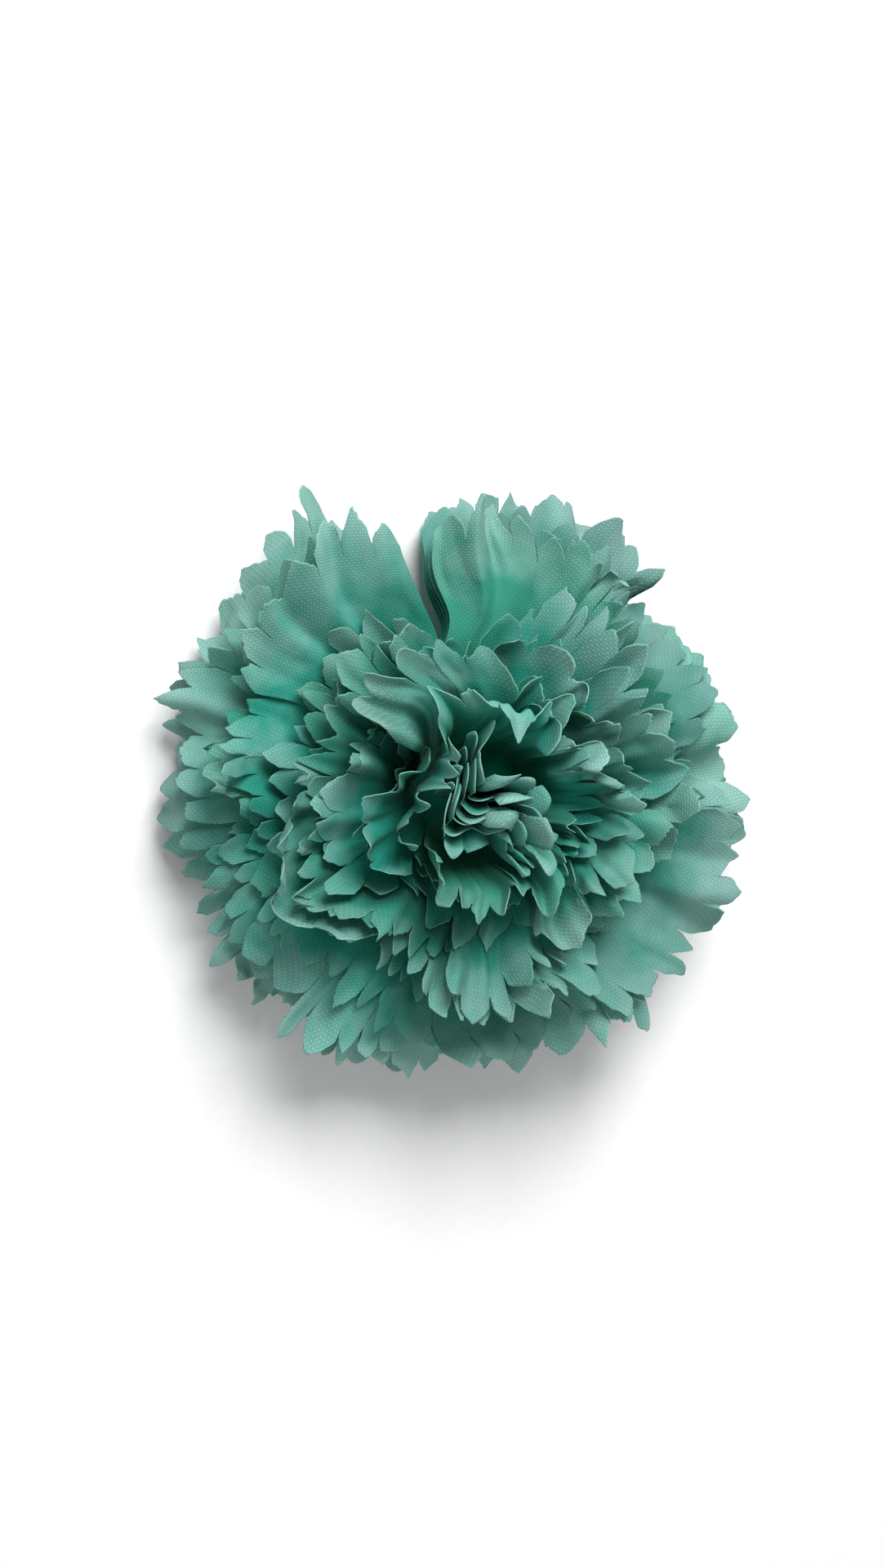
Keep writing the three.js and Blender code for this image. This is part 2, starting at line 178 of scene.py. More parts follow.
@dataclass(frozen=True)
class PlainWovenPolyester:
    """Plain-woven polyester, dyed sea green, starched and cut with hot pinking dies.

    The eye gets a matt cloth with a fine chequer of threads, painted darker in the gaps as shade and lighter
    on the threads as highlight, deeper green at the petals' foot as painted shade, paler and bluer towards
    the rim as painted highlight, and a pale line along each cut that is a painted highlight.
    """

    # The foot's colour is painted shade and the rim's is painted highlight, with the middle's between them.
    foot: str = "#047F67"
    middle: str = "#2FA391"
    rim: str = "#9FD1CA"
    # The cut edge's paler colour is a painted highlight along each cut.
    edge: str = "#9CD0C2"
    olive: str = "#6F9E78"
    glow: str = "#3FBE94"
    foot_until: float = 0.22  # share of a petal's reach where the foot's painted shade starts to pale
    middle_at: float = 0.66
    thread_mm: float = 0.42  # the real pitch is 0.3 mm, drawn coarser so that single threads show
    weave_shade_and_highlight: tuple[float, float] = (0.74, 1.14)  # painted shade in the gaps between threads, and painted highlight on them
    warp_over: float = 0.35  # how much more the warp stands up than the weft
    weave_gain: float = 0.8  # brings the highest thread near 1
    blotch_scale: float = 0.11  # blotches to a millimetre
    blotch_gain: float = 0.6  # how far a blotch shifts the colour along a petal
    shine_through: float = 0.27

    def material(self, part: ClothPart) -> bpy.types.Material:
        """Makes the cloth's material.

        Args:
            part: the face of the cloth or its cut edge.

        Returns:
            The material.
        """
        material, tree = new_material(f"plain_woven_polyester_{part.value}")
        cut = add_node(tree, "ShaderNodeAttribute", {"attribute_name": "cut_mm"})
        shade = add_node(tree, "ShaderNodeAttribute", {"attribute_name": "shade"})
        parts = add_node(tree, "ShaderNodeSeparateXYZ", links={0: shade.outputs["Vector"]})
        reach, tint, olive = parts.outputs
        threads = self._threads(tree, cut.outputs["Vector"])
        colour = self._dye_and_painted_light(tree, cut.outputs["Vector"], reach, tint, olive)
        # The weave's colour is painted: darker in the gaps between threads as shade, lighter on them as
        # highlight.
        gap_shade, thread_highlight = self.weave_shade_and_highlight
        woven = add_node(tree, "ShaderNodeMapRange", {3: gap_shade, 4: thread_highlight}, {0: threads})
        # The colour times the weave's painted shade and highlight.
        dyed = add_node(
            tree, "ShaderNodeVectorMath", {"operation": "SCALE"}, {0: colour, 3: woven.outputs[0]}
        )
        colour = dyed.outputs[0]
        # The cut edge is painted paler than the face, as the highlight along each cut.
        if part is ClothPart.CUT_EDGE:
            pale = add_node(
                tree, "ShaderNodeMix", {"data_type": "RGBA", "Factor": 0.5, 7: linear(self.edge)}, {6: colour}
            )
            colour = pale.outputs[2]
        bump = add_node(tree, "ShaderNodeBump", {"Strength": 0.5, "Distance": 0.09 * MM}, {"Height": threads})
        face = add_node(
            tree,
            "ShaderNodeBsdfPrincipled",
            {
                "Roughness": 0.78,
                "IOR": 1.5,
                "Sheen Weight": 0.06,
                "Sheen Roughness": 0.4,
                "Specular IOR Level": 0.16,
            },
            {"Base Color": colour, "Normal": bump.outputs[0]},
        )
        through = add_node(
            tree, "ShaderNodeMix", {"data_type": "RGBA", "Factor": 0.55, 7: linear(self.glow)}, {6: colour}
        )
        glow = add_node(tree, "ShaderNodeBsdfTranslucent", links={"Color": through.outputs[2]})
        mixed = add_node(
            tree, "ShaderNodeMixShader", {0: self.shine_through}, {1: face.outputs[0], 2: glow.outputs[0]}
        )
        add_node(tree, "ShaderNodeOutputMaterial", links={"Surface": mixed.outputs[0]})
        return material

    def _threads(self, tree: bpy.types.NodeTree, cut: bpy.types.NodeSocket) -> bpy.types.NodeSocket:
        """Makes the weave, as a chequer of warp over weft.

        Args:
            tree: the material's node tree.
            cut: the place in the flat cloth, in millimetres.

        Returns:
            The height of the weave, from 0 in the gaps to 1 on a thread.
        """
        axes = add_node(tree, "ShaderNodeSeparateXYZ", links={0: cut})
        pitch = math.pi / self.thread_mm
        waves = []
        for axis in axes.outputs[:2]:
            turn = add_node(tree, "ShaderNodeMath", {"operation": "MULTIPLY", 1: pitch}, {0: axis})
            wave = add_node(tree, "ShaderNodeMath", {"operation": "SINE"}, {0: turn.outputs[0]})
            waves.append(wave.outputs[0])
        warp, weft = waves
        chequer = add_node(tree, "ShaderNodeMath", {"operation": "MULTIPLY"}, {0: warp, 1: weft}).outputs[0]
        crown = add_node(tree, "ShaderNodeMath", {"operation": "ABSOLUTE"}, {0: chequer}).outputs[0]
        raised = {"operation": "MULTIPLY", 1: self.warp_over}
        side = add_node(tree, "ShaderNodeMath", raised, {0: chequer}).outputs[0]
        level = add_node(tree, "ShaderNodeMath", {"operation": "ADD"}, {0: crown, 1: side}).outputs[0]
        gained = {"operation": "MULTIPLY", 1: self.weave_gain, "use_clamp": True}
        return add_node(tree, "ShaderNodeMath", gained, {0: level}).outputs[0]

    def _dye_and_painted_light(
        self,
        tree: bpy.types.NodeTree,
        cut: bpy.types.NodeSocket,
        reach: bpy.types.NodeSocket,
        tint: bpy.types.NodeSocket,
        olive: bpy.types.NodeSocket,
    ) -> bpy.types.NodeSocket:
        """Makes a petal's colour: painted shade at the foot, painted highlight at the rim, blotches and its
        own tint.

        Args:
            tree: the material's node tree.
            cut: the place in the flat cloth, in millimetres.
            reach: from 0 at the petal's foot to about 1 at its rim, along the painted shade-to-highlight
                ramp.
            tint: the petal's own brightness, near 1.
            olive: the petal's own share of the olive dye.

        Returns:
            The colour.
        """
        blotch = add_node(
            tree,
            "ShaderNodeTexNoise",
            {"Scale": self.blotch_scale, "Detail": 3.0, "Roughness": 0.55},
            {0: cut},
        )
        shifted = {"operation": "MULTIPLY_ADD", 1: self.blotch_gain, 2: -self.blotch_gain / 2}
        uneven = add_node(tree, "ShaderNodeMath", shifted, {0: blotch.outputs[0]})
        place = add_node(
            tree, "ShaderNodeMath", {"operation": "ADD", "use_clamp": True}, {0: reach, 1: uneven.outputs[0]}
        )
        # The ramp paints shade at the foot and highlight at the rim.
        ramp = add_node(tree, "ShaderNodeValToRGB", links={0: place.outputs[0]})
        stops = ramp.color_ramp.elements
        stops[0].position = self.foot_until
        stops[0].color = linear(self.foot)
        stops[1].position = 1.0
        stops[1].color = linear(self.rim)
        stops.new(self.middle_at).color = linear(self.middle)
        green = add_node(
            tree,
            "ShaderNodeMix",
            {"data_type": "RGBA", 7: linear(self.olive)},
            {"Factor": olive, 6: ramp.outputs[0]},
        )
        return add_node(
            tree, "ShaderNodeVectorMath", {"operation": "SCALE"}, {0: green.outputs[2], 3: tint}
        ).outputs[0]


@dataclass(frozen=True)
class MouldedPolyethylene:
    """Injection-moulded low-density polyethylene, as the pieces come from the tool.

    The eye gets a waxy, softly glossy green with faint flow marks and lighter, rubbed high spots.
    """

    name: str
    colour: str
    pale: str
    roughness: tuple[float, float] = (0.34, 0.54)  # lowest and highest
    flow_mm: float = 2.2  # from one flow mark to the next
    flow_stretch: float = 4.0  # how much longer a mark is upwards, the way that the plastic flowed

    def material(self) -> bpy.types.Material:
        """Makes the plastic's material.

        Returns:
            The material.
        """
        material, tree = new_material(self.name)
        place = add_node(tree, "ShaderNodeTexCoord")
        across = 1 / (self.flow_mm * MM)
        scaled = add_node(
            tree,
            "ShaderNodeMapping",
            {"Scale": (across, across, across / self.flow_stretch)},
            {0: place.outputs["Object"]},
        )
        flow = add_node(
            tree,
            "ShaderNodeTexNoise",
            {"Scale": 1.0, "Detail": 4.0, "Roughness": 0.6},
            {0: scaled.outputs[0]},
        )
        mixed = add_node(
            tree,
            "ShaderNodeMix",
            {"data_type": "RGBA", 6: linear(self.colour), 7: linear(self.pale)},
            {"Factor": flow.outputs[0]},
        )
        gloss = add_node(
            tree,
            "ShaderNodeMapRange",
            {3: self.roughness[0], 4: self.roughness[1]},
            {0: flow.outputs[0]},
        )
        bump = add_node(
            tree, "ShaderNodeBump", {"Strength": 0.25, "Distance": 0.1 * MM}, {"Height": flow.outputs[0]}
        )
        plastic = add_node(
            tree,
            "ShaderNodeBsdfPrincipled",
            {"IOR": 1.51, "Subsurface Weight": 0.08, "Subsurface Scale": 0.6 * MM},
            {"Base Color": mixed.outputs[2], "Roughness": gloss.outputs[0], "Normal": bump.outputs[0]},
        )
        add_node(tree, "ShaderNodeOutputMaterial", links={"Surface": plastic.outputs[0]})
        return material


# ---- The nest of mean surfaces ----
@dataclass(frozen=True)
class Bulge:
    """A stretch of the rim where the petals reach further out, or less far."""

    angle: float  # degrees
    width: float  # degrees
    size: float  # in millimetres

    def at(self, angle: np.ndarray) -> np.ndarray:
        """The change in reach at the given angles, which are in radians."""
        away = (np.degrees(angle) - self.angle + 180) % 360 - 180
        return self.size * np.exp(-((away / self.width) ** 2))


@dataclass(frozen=True)
class Die:
    """A cutting die, which sets the flat cut of a tier."""

    length: float  # axis to rim
    petals: int
    teeth: tuple[int, int]  # fewest and most on one petal
    overlap: float  # share by which a petal spreads past its own sector at the rim
    notched: bool = False
    slit_start: float = 0.42  # share of the length where two petals part
    scales: tuple[float, float] = (0.95, 1.04)  # shortest and longest petal
    corner_drop: float = 5.0  # how much shorter a petal is at its corners
    tooth_depth: tuple[float, float] = (1.9, 4.0)  # shallowest and deepest, from a tooth's tip to its sides
    painted_highlight_reach: float = 1.0  # how far the rim comes along the painted shade-to-highlight ramp
    bulges: tuple[Bulge, ...] = ()


LARGE = Die(
    length=48.6,
    petals=7,
    teeth=(7, 9),
    overlap=0.10,
    notched=True,
    bulges=(
        Bulge(198, 18, -9.0),
        Bulge(345, 16, 4.5),
        Bulge(15, 13, -5.0),
        Bulge(68, 12, -2.5),
        Bulge(128, 12, -2.0),
        Bulge(292, 12, -2.5),
    ),
)
MEDIUM = Die(
    length=37.5,
    petals=6,
    teeth=(6, 9),
    overlap=0.14,
    slit_start=0.38,
    scales=(0.8, 1.05),
    tooth_depth=(2.0, 4.4),
    painted_highlight_reach=0.94,
    bulges=(Bulge(93, 20, -10.0),),
)
SMALL = Die(
    length=30.5,
    petals=5,
    teeth=(5, 7),
    overlap=0.22,
    slit_start=0.34,
    scales=(0.76, 1.07),
    tooth_depth=(2.2, 5.0),
    painted_highlight_reach=0.88,
)
DIES = [LARGE] * 5 + [MEDIUM] * 4 + [SMALL] * 4  # from the lowest tier to the top one
TOP = len(DIES) - 1
HUB_GAP = 0.55  # from a hub's middle to the face that it lies on
TIER_BORE = 1.8  # radius of the hole in a tier's hub
NOTCH_ANGLE = math.radians(99)
NOTCH_DROP = 3.5  # how much shorter a petal is at its corner beside the notch
GOLDEN_ANGLE = math.radians(137.5)


@dataclass(frozen=True)
class Wave:
    """One of the waves that add up to the pleats round a tier."""

    count: int
    height: float  # in millimetres, at the rim
    phase: float
    drift: float  # radians that it turns from one tier to the next
    skew: float = 0.0  # how far its crests lean, which makes soft folds of it

    def at(self, angle: np.ndarray, level: np.ndarray) -> np.ndarray:
        """Works out the wave's height.

        Args:
            angle: angles round the axis, in radians.
            level: a level for each.

        Returns:
            The heights there, in millimetres.
        """
        turn = self.count * angle
        lean = self.skew * np.sin(turn + 2 * self.phase)
        return self.height * np.sin(turn + self.phase + self.drift * level + lean)


@dataclass(frozen=True)
class Swell:
    """One of the waves by which the tiers crowd together on one side of the head and part on another."""

    order: int  # half waves from the lowest tier to the top one
    count: int  # waves round the head
    height: float  # in tiers
    phase: float


@dataclass(frozen=True)
class Crumple:
    """One of the waves by which the whole head is crumpled, all its layers together."""

    length: float  # of the wave, in millimetres
    height: float
    run: tuple[float, float, float]
    push: tuple[float, float, float]
    phase: float


@dataclass
class Nest:
    """The mean surfaces that the tiers follow, one inside the next, so that two tiers never cross.

    A place in it has a cloth length from the axis, an angle round it and a level, which is the tier's number
    and may lie between two tiers.
    """

    first_hub: float  # height of the lowest tier's hub
    pitch: float  # from one hub to the next
    bore: float  # radius
    rises: tuple[float, float] = (-6.5, 72.0)  # the lowest and the top tier's slope past the hub, in degrees
    tips: tuple[float, float] = (-62.0, 50.0)  # the same at the rim
    rise_ease: float = 0.95  # powers by which the slopes go from the one to the other
    tip_ease: float = 0.62
    tip_bend: float = 1.6  # how late the slope turns to the rim's
    inner_turn: float = 4.6  # cloth length at which the top tier turns up from its hub
    turn_step: float = 0.9  # how much further out each tier below it does
    turn_length: float = 6.0
    past_rim: float = 8.0  # how much longer than the large die a petal may be
    step: float = 0.25  # of the tables
    swell_from: tuple[float, float] = (8.0, 26.0)  # cloth lengths where the crowding starts and is full
    pleat_start: float = 2.0  # radius
    pleat_room: float = 14.0  # from there to where the pleats may be full
    pleat_growth: float = 1.5  # the power by which they grow towards the rim
    drift_gain: float = 0.9  # of the pleats' turn from tier to tier, which slows towards the top
    crumpled_from: tuple[float, float] = (10.0, 24.0)  # cloth lengths
    floor_gap: float = 0.45  # least height of the lowest tier, and from each to the next
    floor_tiers: int = 4  # those that may come near the floor, above the lowest
    waves: tuple[Wave, ...] = (
        Wave(6, 2.5, 0.0, 0.25, 0.35),
        Wave(4, 1.6, 1.1, -0.22),
        Wave(11, 1.5, 2.3, 0.5, 0.5),
        Wave(17, 1.2, 0.7, -0.75, 0.5),
        Wave(29, 0.65, 4.1, 1.2, 0.4),
    )
    swells: tuple[Swell, ...] = (
        Swell(1, 1, 0.55, 2.2),
        Swell(1, 3, 0.4, 0.6),
        Swell(2, 2, 0.3, 4.0),
        Swell(2, 5, 0.2, 1.9),
        Swell(3, 4, 0.17, 5.2),
        Swell(4, 3, 0.1, 0.9),
        Swell(5, 7, 0.09, 3.3),
    )
    crumples: tuple[Crumple, ...] = (
        Crumple(37.0, 2.1, (0.8, 0.5, 0.1), (-0.3, 0.4, 0.8), 0.4),
        Crumple(29.0, 1.4, (-0.5, 0.8, 0.3), (0.7, 0.5, 0.4), 2.1),
        Crumple(21.0, 1.0, (0.3, -0.9, 0.5), (0.9, 0.4, -0.2), 5.6),
        Crumple(15.0, 0.6, (0.7, -0.6, 0.3), (0.1, 0.3, 0.9), 3.7),
        Crumple(11.0, 0.3, (0.2, 0.9, -0.4), (0.7, -0.3, 0.6), 5.0),
        Crumple(7.0, 0.13, (0.9, 0.3, 0.3), (-0.4, 0.5, 0.7), 1.2),
    )
    tables: list[np.ndarray] = field(init=False)

    def __post_init__(self) -> None:
        """Tables the radius, height and slope of each tier's mean surface."""
        reach = np.arange(self.bore, LARGE.length + self.past_rim, self.step)
        rows = [self._profile(tier, reach) for tier in range(len(DIES))]
        self.tables = [np.array(kind) for kind in zip(*rows)]

    def turn(self, level: float | np.ndarray) -> float | np.ndarray:
        """The cloth length at which a tier, or a level between two tiers, turns up from its hub."""
        return self.inner_turn + (TOP - level) * self.turn_step

    def _profile(self, tier: int, reach: np.ndarray) -> tuple[np.ndarray, np.ndarray, np.ndarray]:
        """Works out one tier's mean surface, before its pleats.

        Args:
            tier: the tier's number.
            reach: cloth lengths, one step apart.

        Returns:
            The radius, height and slope at each cloth length.
        """
        inward = tier / TOP
        rise, tip = (
            math.radians(low + (high - low) * inward**ease)
            for (low, high), ease in ((self.rises, self.rise_ease), (self.tips, self.tip_ease))
        )
        turn = self.turn(tier)
        far = np.clip((reach - turn) / (DIES[tier].length - turn), 0, 1)
        slope = rise * smooth(reach, turn, turn + self.turn_length) + (tip - rise) * far**self.tip_bend
        radius = self.bore + np.cumsum(np.cos(slope)) * self.step - self.step
        height = self.first_hub + tier * self.pitch + np.cumsum(np.sin(slope)) * self.step
        return radius, height, slope

    def _look(self, table: np.ndarray, reach: np.ndarray, level: np.ndarray) -> np.ndarray:
        """Reads a table between its tiers and its steps.

        Args:
            table: of the radius, the height or the slope.
            reach: cloth lengths.
            level: a level for each.

        Returns:
            The values there.
        """
        low = np.clip(np.floor(level).astype(int), 0, TOP - 1)
        at = np.clip((reach - self.bore) / self.step, 0, table.shape[1] - 2)
        left = at.astype(int)
        share = at - left
        below = table[low, left] * (1 - share) + table[low, left + 1] * share
        above = table[low + 1, left] * (1 - share) + table[low + 1, left + 1] * share
        return below + (above - below) * (level - low)

    def gap(self, reach: np.ndarray, level: np.ndarray) -> np.ndarray:
        """The distance that one whole level makes at the given cloth lengths and levels.

        Args:
            reach: cloth lengths.
            level: a level for each, in the middle of the whole one.

        Returns:
            The distances, in millimetres.
        """
        low = np.clip(level - 0.5, 0, TOP - 1)
        outward, upward = (
            self._look(table, reach, low + 1) - self._look(table, reach, low) for table in self.tables[:2]
        )
        return np.hypot(outward, upward)

    def swell(self, reach: np.ndarray, angle: np.ndarray, level: np.ndarray) -> np.ndarray:
        """Moves levels to where the crowding of the tiers puts them.

        Args:
            reach: cloth lengths.
            angle: angles round the axis, in radians.
            level: the levels as they would be in an even nest.

        Returns:
            The moved levels.
        """
        inside = np.clip(level / TOP, 0, 1)
        shift = sum(
            swell.height * np.sin(swell.count * angle + swell.phase) * np.sin(math.pi * swell.order * inside)
            for swell in self.swells
        )
        return level + shift * smooth(reach, *self.swell_from)

    def place(self, reach: np.ndarray, angle: np.ndarray, level: np.ndarray) -> np.ndarray:
        """The points at the given cloth lengths, angles and levels.

        Args:
            reach: cloth length from the axis.
            angle: angle round the axis, in radians.
            level: the tier's number, with its cloth's own shift.

        Returns:
            An array of points, one more axis than the arguments.
        """
        level = self.swell(reach, angle, level)
        radius, height, slope = (self._look(table, reach, level) for table in self.tables)
        turn = self.turn(level)
        full = LARGE.length + (SMALL.length - LARGE.length) * level / TOP
        far = np.clip((reach - turn) / (full - turn), 0, None)
        room = np.clip((radius - self.pleat_start) / self.pleat_room, 0, 1)
        turned = level + self.drift_gain * (level - level**2 / (2 * TOP))
        lift = sum(wave.at(angle, turned) for wave in self.waves) * far**self.pleat_growth * room
        radius = radius - lift * np.sin(slope)
        height = height + lift * np.cos(slope)
        points = np.stack([radius * np.cos(angle), radius * np.sin(angle), height], axis=-1)
        points = self.crumpled(points, smooth(reach, *self.crumpled_from))
        floor = self.floor_gap * (1 + np.clip(level, 0, self.floor_tiers))
        points[..., 2] = floor + eased_above_zero(points[..., 2] - floor)
        return points

    def crumpled(self, points: np.ndarray, share: np.ndarray) -> np.ndarray:
        """Crumples points, by the same waves for all of the head's layers.

        Args:
            points: in millimetres.
            share: from 0 for a point that stays to 1 for a fully crumpled one.

        Returns:
            The moved points.
        """
        moved = points.copy()
        for wave in self.crumples:
            run = np.array(wave.run) / np.linalg.norm(wave.run)
            push = np.array(wave.push)
            push = push - run * (run @ push)  # square to the run, so that it only shears
            push /= np.linalg.norm(push)
            size = wave.height * np.sin(2 * math.pi / wave.length * (moved @ run) + wave.phase)
            moved += (size * share)[..., None] * push
        return moved


# ---- Cloth pieces ----
@dataclass
class ClothGrid:
    """Grids of cloth points that are sewn into one mesh where they share points."""

    points: list[np.ndarray] = field(default_factory=list)
    cuts: list[np.ndarray] = field(default_factory=list)
    shades: list[np.ndarray] = field(default_factory=list)
    quads: list[np.ndarray] = field(default_factory=list)
    count: int = 0  # of the points so far

    def add(self, points: np.ndarray, cut: np.ndarray, shade: np.ndarray) -> None:
        """Adds one grid.

        Args:
            points: rows by columns of points, in millimetres.
            cut: the same grid in the flat cloth, in millimetres.
            shade: its reach, tint and olive share.
        """
        rows, columns = points.shape[:2]
        index = self.count + np.arange(rows * columns).reshape(rows, columns)
        self.quads.append(
            np.stack([index[:-1, :-1], index[:-1, 1:], index[1:, 1:], index[1:, :-1]], axis=-1).reshape(-1, 4)
        )
        self.points.append(points.reshape(-1, 3))
        self.cuts.append(cut.reshape(-1, 3))
        self.shades.append(shade.reshape(-1, 3))
        self.count += rows * columns

    def piece(self, name: str, thickness: float, materials: list[bpy.types.Material]) -> bpy.types.Object:
        """Sews the grids into one thick, smooth-shaded piece.

        Args:
            name: the piece's name.
            thickness: of the cloth, in millimetres.
            materials: the face's and the cut edge's.

        Returns:
            The piece.
        """
        points, cuts, shades = (np.concatenate(kind) for kind in (self.points, self.cuts, self.shades))
        keys, first, back = np.unique(np.round(points, 4), axis=0, return_index=True, return_inverse=True)
        quads = back.reshape(-1)[np.concatenate(self.quads)]
        mesh = bpy.data.meshes.new(name)
        mesh.from_pydata((keys * MM).tolist(), [], quads.tolist())
        for label, values in (("cut_mm", cuts[first]), ("shade", shades[first])):
            layer = mesh.attributes.new(label, "FLOAT_VECTOR", "POINT")
            layer.data.foreach_set("vector", values.astype(np.float32).ravel())
        mesh.shade_smooth()
        mesh.validate()
        for material in materials:
            mesh.materials.append(material)
        piece = linked(name, mesh)
        thick = piece.modifiers.new("thickness", "SOLIDIFY")
        thick.thickness = thickness * MM
        thick.offset = 0
        thick.material_offset_rim = 1
        return piece


FOLDED_SHARE = 0.22  # of the petals have a deep crease
FOLD_LENGTH = 3.5  # the cloth length over which a folded tip turns
FOLD_FADE = 0.6  # share of a fold's half width over which it fades out to its sides


@dataclass(frozen=True)
class Pose:
    """How one petal is bent out of its tier's mean surface, in millimetres unless it says otherwise."""

    lift: float = 0.0  # the whole petal
    cup: float = 0.0  # the sides against the middle
    twist: float = 0.0  # one side up and the other down
    curl: float = 0.0  # the rim, towards the axis if above 0
    crease: float = 0.0  # a ridge from the foot to the rim, or a furrow if below 0
    crease_at: float = 0.0  # across, from -1 to 1
    crease_width: float = 0.35  # across, like the other widths
    flutter: float = 0.0  # the fine waves along the rim
    flutter_turn: float = 0.0  # radians
    sway: float = 0.0  # sideways
    scale: float = 1.0  # length, as a share of the die's
    slant: float = 0.0  # the rim's one side longer and the other shorter
    teeth: int = 0  # how many it has, or 0 to leave it to chance
    left_drop: float = 5.0  # how much shorter it is at its corners
    right_drop: float = 5.0
    fold: float = 0.0  # degrees by which the tip is folded over, towards the axis if above 0
    fold_from: float = 0.0  # cloth length where the fold is
    fold_at: float = 0.0  # across, from -1 to 1
    fold_width: float = 0.6
    corner: float = 0.0  # the side whose corner is folded over, -1 or 1, or neither
    corner_fold: float = 0.0  # degrees
    tint: float = 0.0  # how much brighter its cloth is than the others'
    olive: float = 0.0  # share of the olive dye

    @staticmethod
    def drawn(rng: np.random.Generator, die: Die, left_notch: bool, right_notch: bool) -> "Pose":
        """Draws a petal's pose by chance.

        Args:
            rng: the tier's random numbers.
            die: the die that cut the petal.
            left_notch: whether the tier's notch is at the petal's left.
            right_notch: whether it is at its right.

        Returns:
            The pose.
        """
        folded = rng.random() < FOLDED_SHARE
        return Pose(
            lift=rng.normal(0, 1.9),
            cup=rng.normal(0.4, 2.3),
            twist=rng.normal(0, 1.0),
            curl=rng.normal(0.5, 3.6),
            crease=rng.choice([-1, 1]) * (rng.uniform(3.5, 6) if folded else rng.uniform(0.4, 2.6)),
            crease_at=rng.uniform(-0.6, 0.6),
            crease_width=rng.uniform(0.25, 0.55),
            flutter=rng.uniform(0.5, 2.0),
            flutter_turn=rng.uniform(0, 2 * math.pi),
            sway=rng.normal(0, 1.6),
            scale=rng.uniform(*die.scales),
            slant=rng.normal(0, 2.0),
            left_drop=NOTCH_DROP if left_notch else die.corner_drop,
            right_drop=NOTCH_DROP if right_notch else die.corner_drop,
            corner=rng.choice([-1, 0, 0, 0, 0, 1]),
            corner_fold=rng.uniform(40, 85),
            tint=rng.normal(0, 0.09),
            olive=rng.uniform(0, 0.38) ** 1.6,
        )


@dataclass(frozen=True)
class Pinking:
    """How the teeth along a petal's rim differ: a lowest and a highest of each measure, or a spread."""

    widths: tuple[float, float] = (0.7, 1.3)  # as shares of an even tooth
    lengths: tuple[float, float] = (-2.2, 1.4)  # past the petal's own length
    points: tuple[float, float] = (0.8, 1.35)  # the power by which a tooth falls off from its tip
    peaks: tuple[float, float] = (0.36, 0.64)  # where the tip lies across the tooth
    curl: float = 1.5  # spread of the teeth's bend towards the axis
    lean: float = 0.6  # spread of the teeth's bend sideways
    slit_depths: tuple[float, float] = (0.0, 2.7)
    slit_widths: tuple[float, float] = (0.16, 0.5)
    fray: float = 0.14  # spread of the cut's unevenness


@dataclass
class Petal:
    """One petal of a tier: its teeth, as cut, and how it is bent."""

    die: Die
    rng: np.random.Generator
    pose: Pose
    pinking: Pinking = Pinking()
    column_width: float = 0.5  # of the petal's grid, at the rim
    least_columns: int = 7  # on one tooth
    slit_column: float = 0.35  # where a tooth's first column lies, as a share of the slit's width
    across: np.ndarray = field(init=False)  # each column's place, from -1 at the one side to 1 at the other
    reach: np.ndarray = field(init=False)  # its length
    curl: np.ndarray = field(init=False)  # its tooth's bends
    lean: np.ndarray = field(init=False)

    def __post_init__(self) -> None:
        """Draws the teeth and the slits between them, and lays out the columns of the petal's grid."""
        rng, die, cut = self.rng, self.die, self.pinking
        count = self.pose.teeth or int(rng.integers(die.teeth[0], die.teeth[1] + 1))
        widths = rng.uniform(*cut.widths, count)
        edges = -1 + 2 * np.concatenate([[0], np.cumsum(widths)]) / widths.sum()
        length = rng.uniform(*cut.lengths, count)
        rounded = rng.uniform(*die.tooth_depth, count)
        point = rng.uniform(*cut.points, count)
        peak = rng.uniform(*cut.peaks, count)
        curl = rng.normal(0, cut.curl, count)
        lean = rng.normal(0, cut.lean, count)
        depth = rng.uniform(*cut.slit_depths, count + 1)
        depth[[0, -1]] = 0  # a petal's own sides have no slit
        width = rng.uniform(*cut.slit_widths, count + 1)
        rim_width = 2 * math.pi * die.length / die.petals
        columns = []
        for tooth in range(count):
            left, right = edges[tooth], edges[tooth + 1]
            wide = (right - left) / 2 * rim_width
            slits = [width[tooth + side] / wide for side in (0, 1)]
            between = max(self.least_columns, round(wide / self.column_width))
            inner = np.linspace(slits[0], 1 - slits[1], between)
            first, last = slits[0] * self.slit_column, 1 - slits[1] * self.slit_column
            shares = np.concatenate([[first], inner, [last]])
            off = (shares - peak[tooth]) / np.where(shares < peak[tooth], peak[tooth], 1 - peak[tooth])
            drop = rounded[tooth] * np.abs(off) ** point[tooth]
            for side, near in ((0, shares), (1, 1 - shares)):
                drop = drop + depth[tooth + side] * np.clip(1 - near / slits[side], 0, 1) ** 0.5
            for at, low in zip(left + (right - left) * shares, drop):
                columns.append((at, length[tooth] - low, curl[tooth], lean[tooth]))
        for edge in range(count + 1):
            beside = [t for t in (edge - 1, edge) if 0 <= t < count]
            low = min(length[t] - rounded[t] for t in beside) - depth[edge]
            columns.append((edges[edge], low, float(np.mean([curl[t] for t in beside])), 0.0))
        self.across, teeth, self.curl, self.lean = np.array(sorted(columns)).T
        drops = np.where(self.across < 0, self.pose.left_drop, self.pose.right_drop)
        corners = drops * np.abs(self.across) ** 3
        fray = rng.normal(0, cut.fray, self.across.shape)
        self.reach = die.length * self.pose.scale + self.pose.slant * self.across + teeth - corners + fray


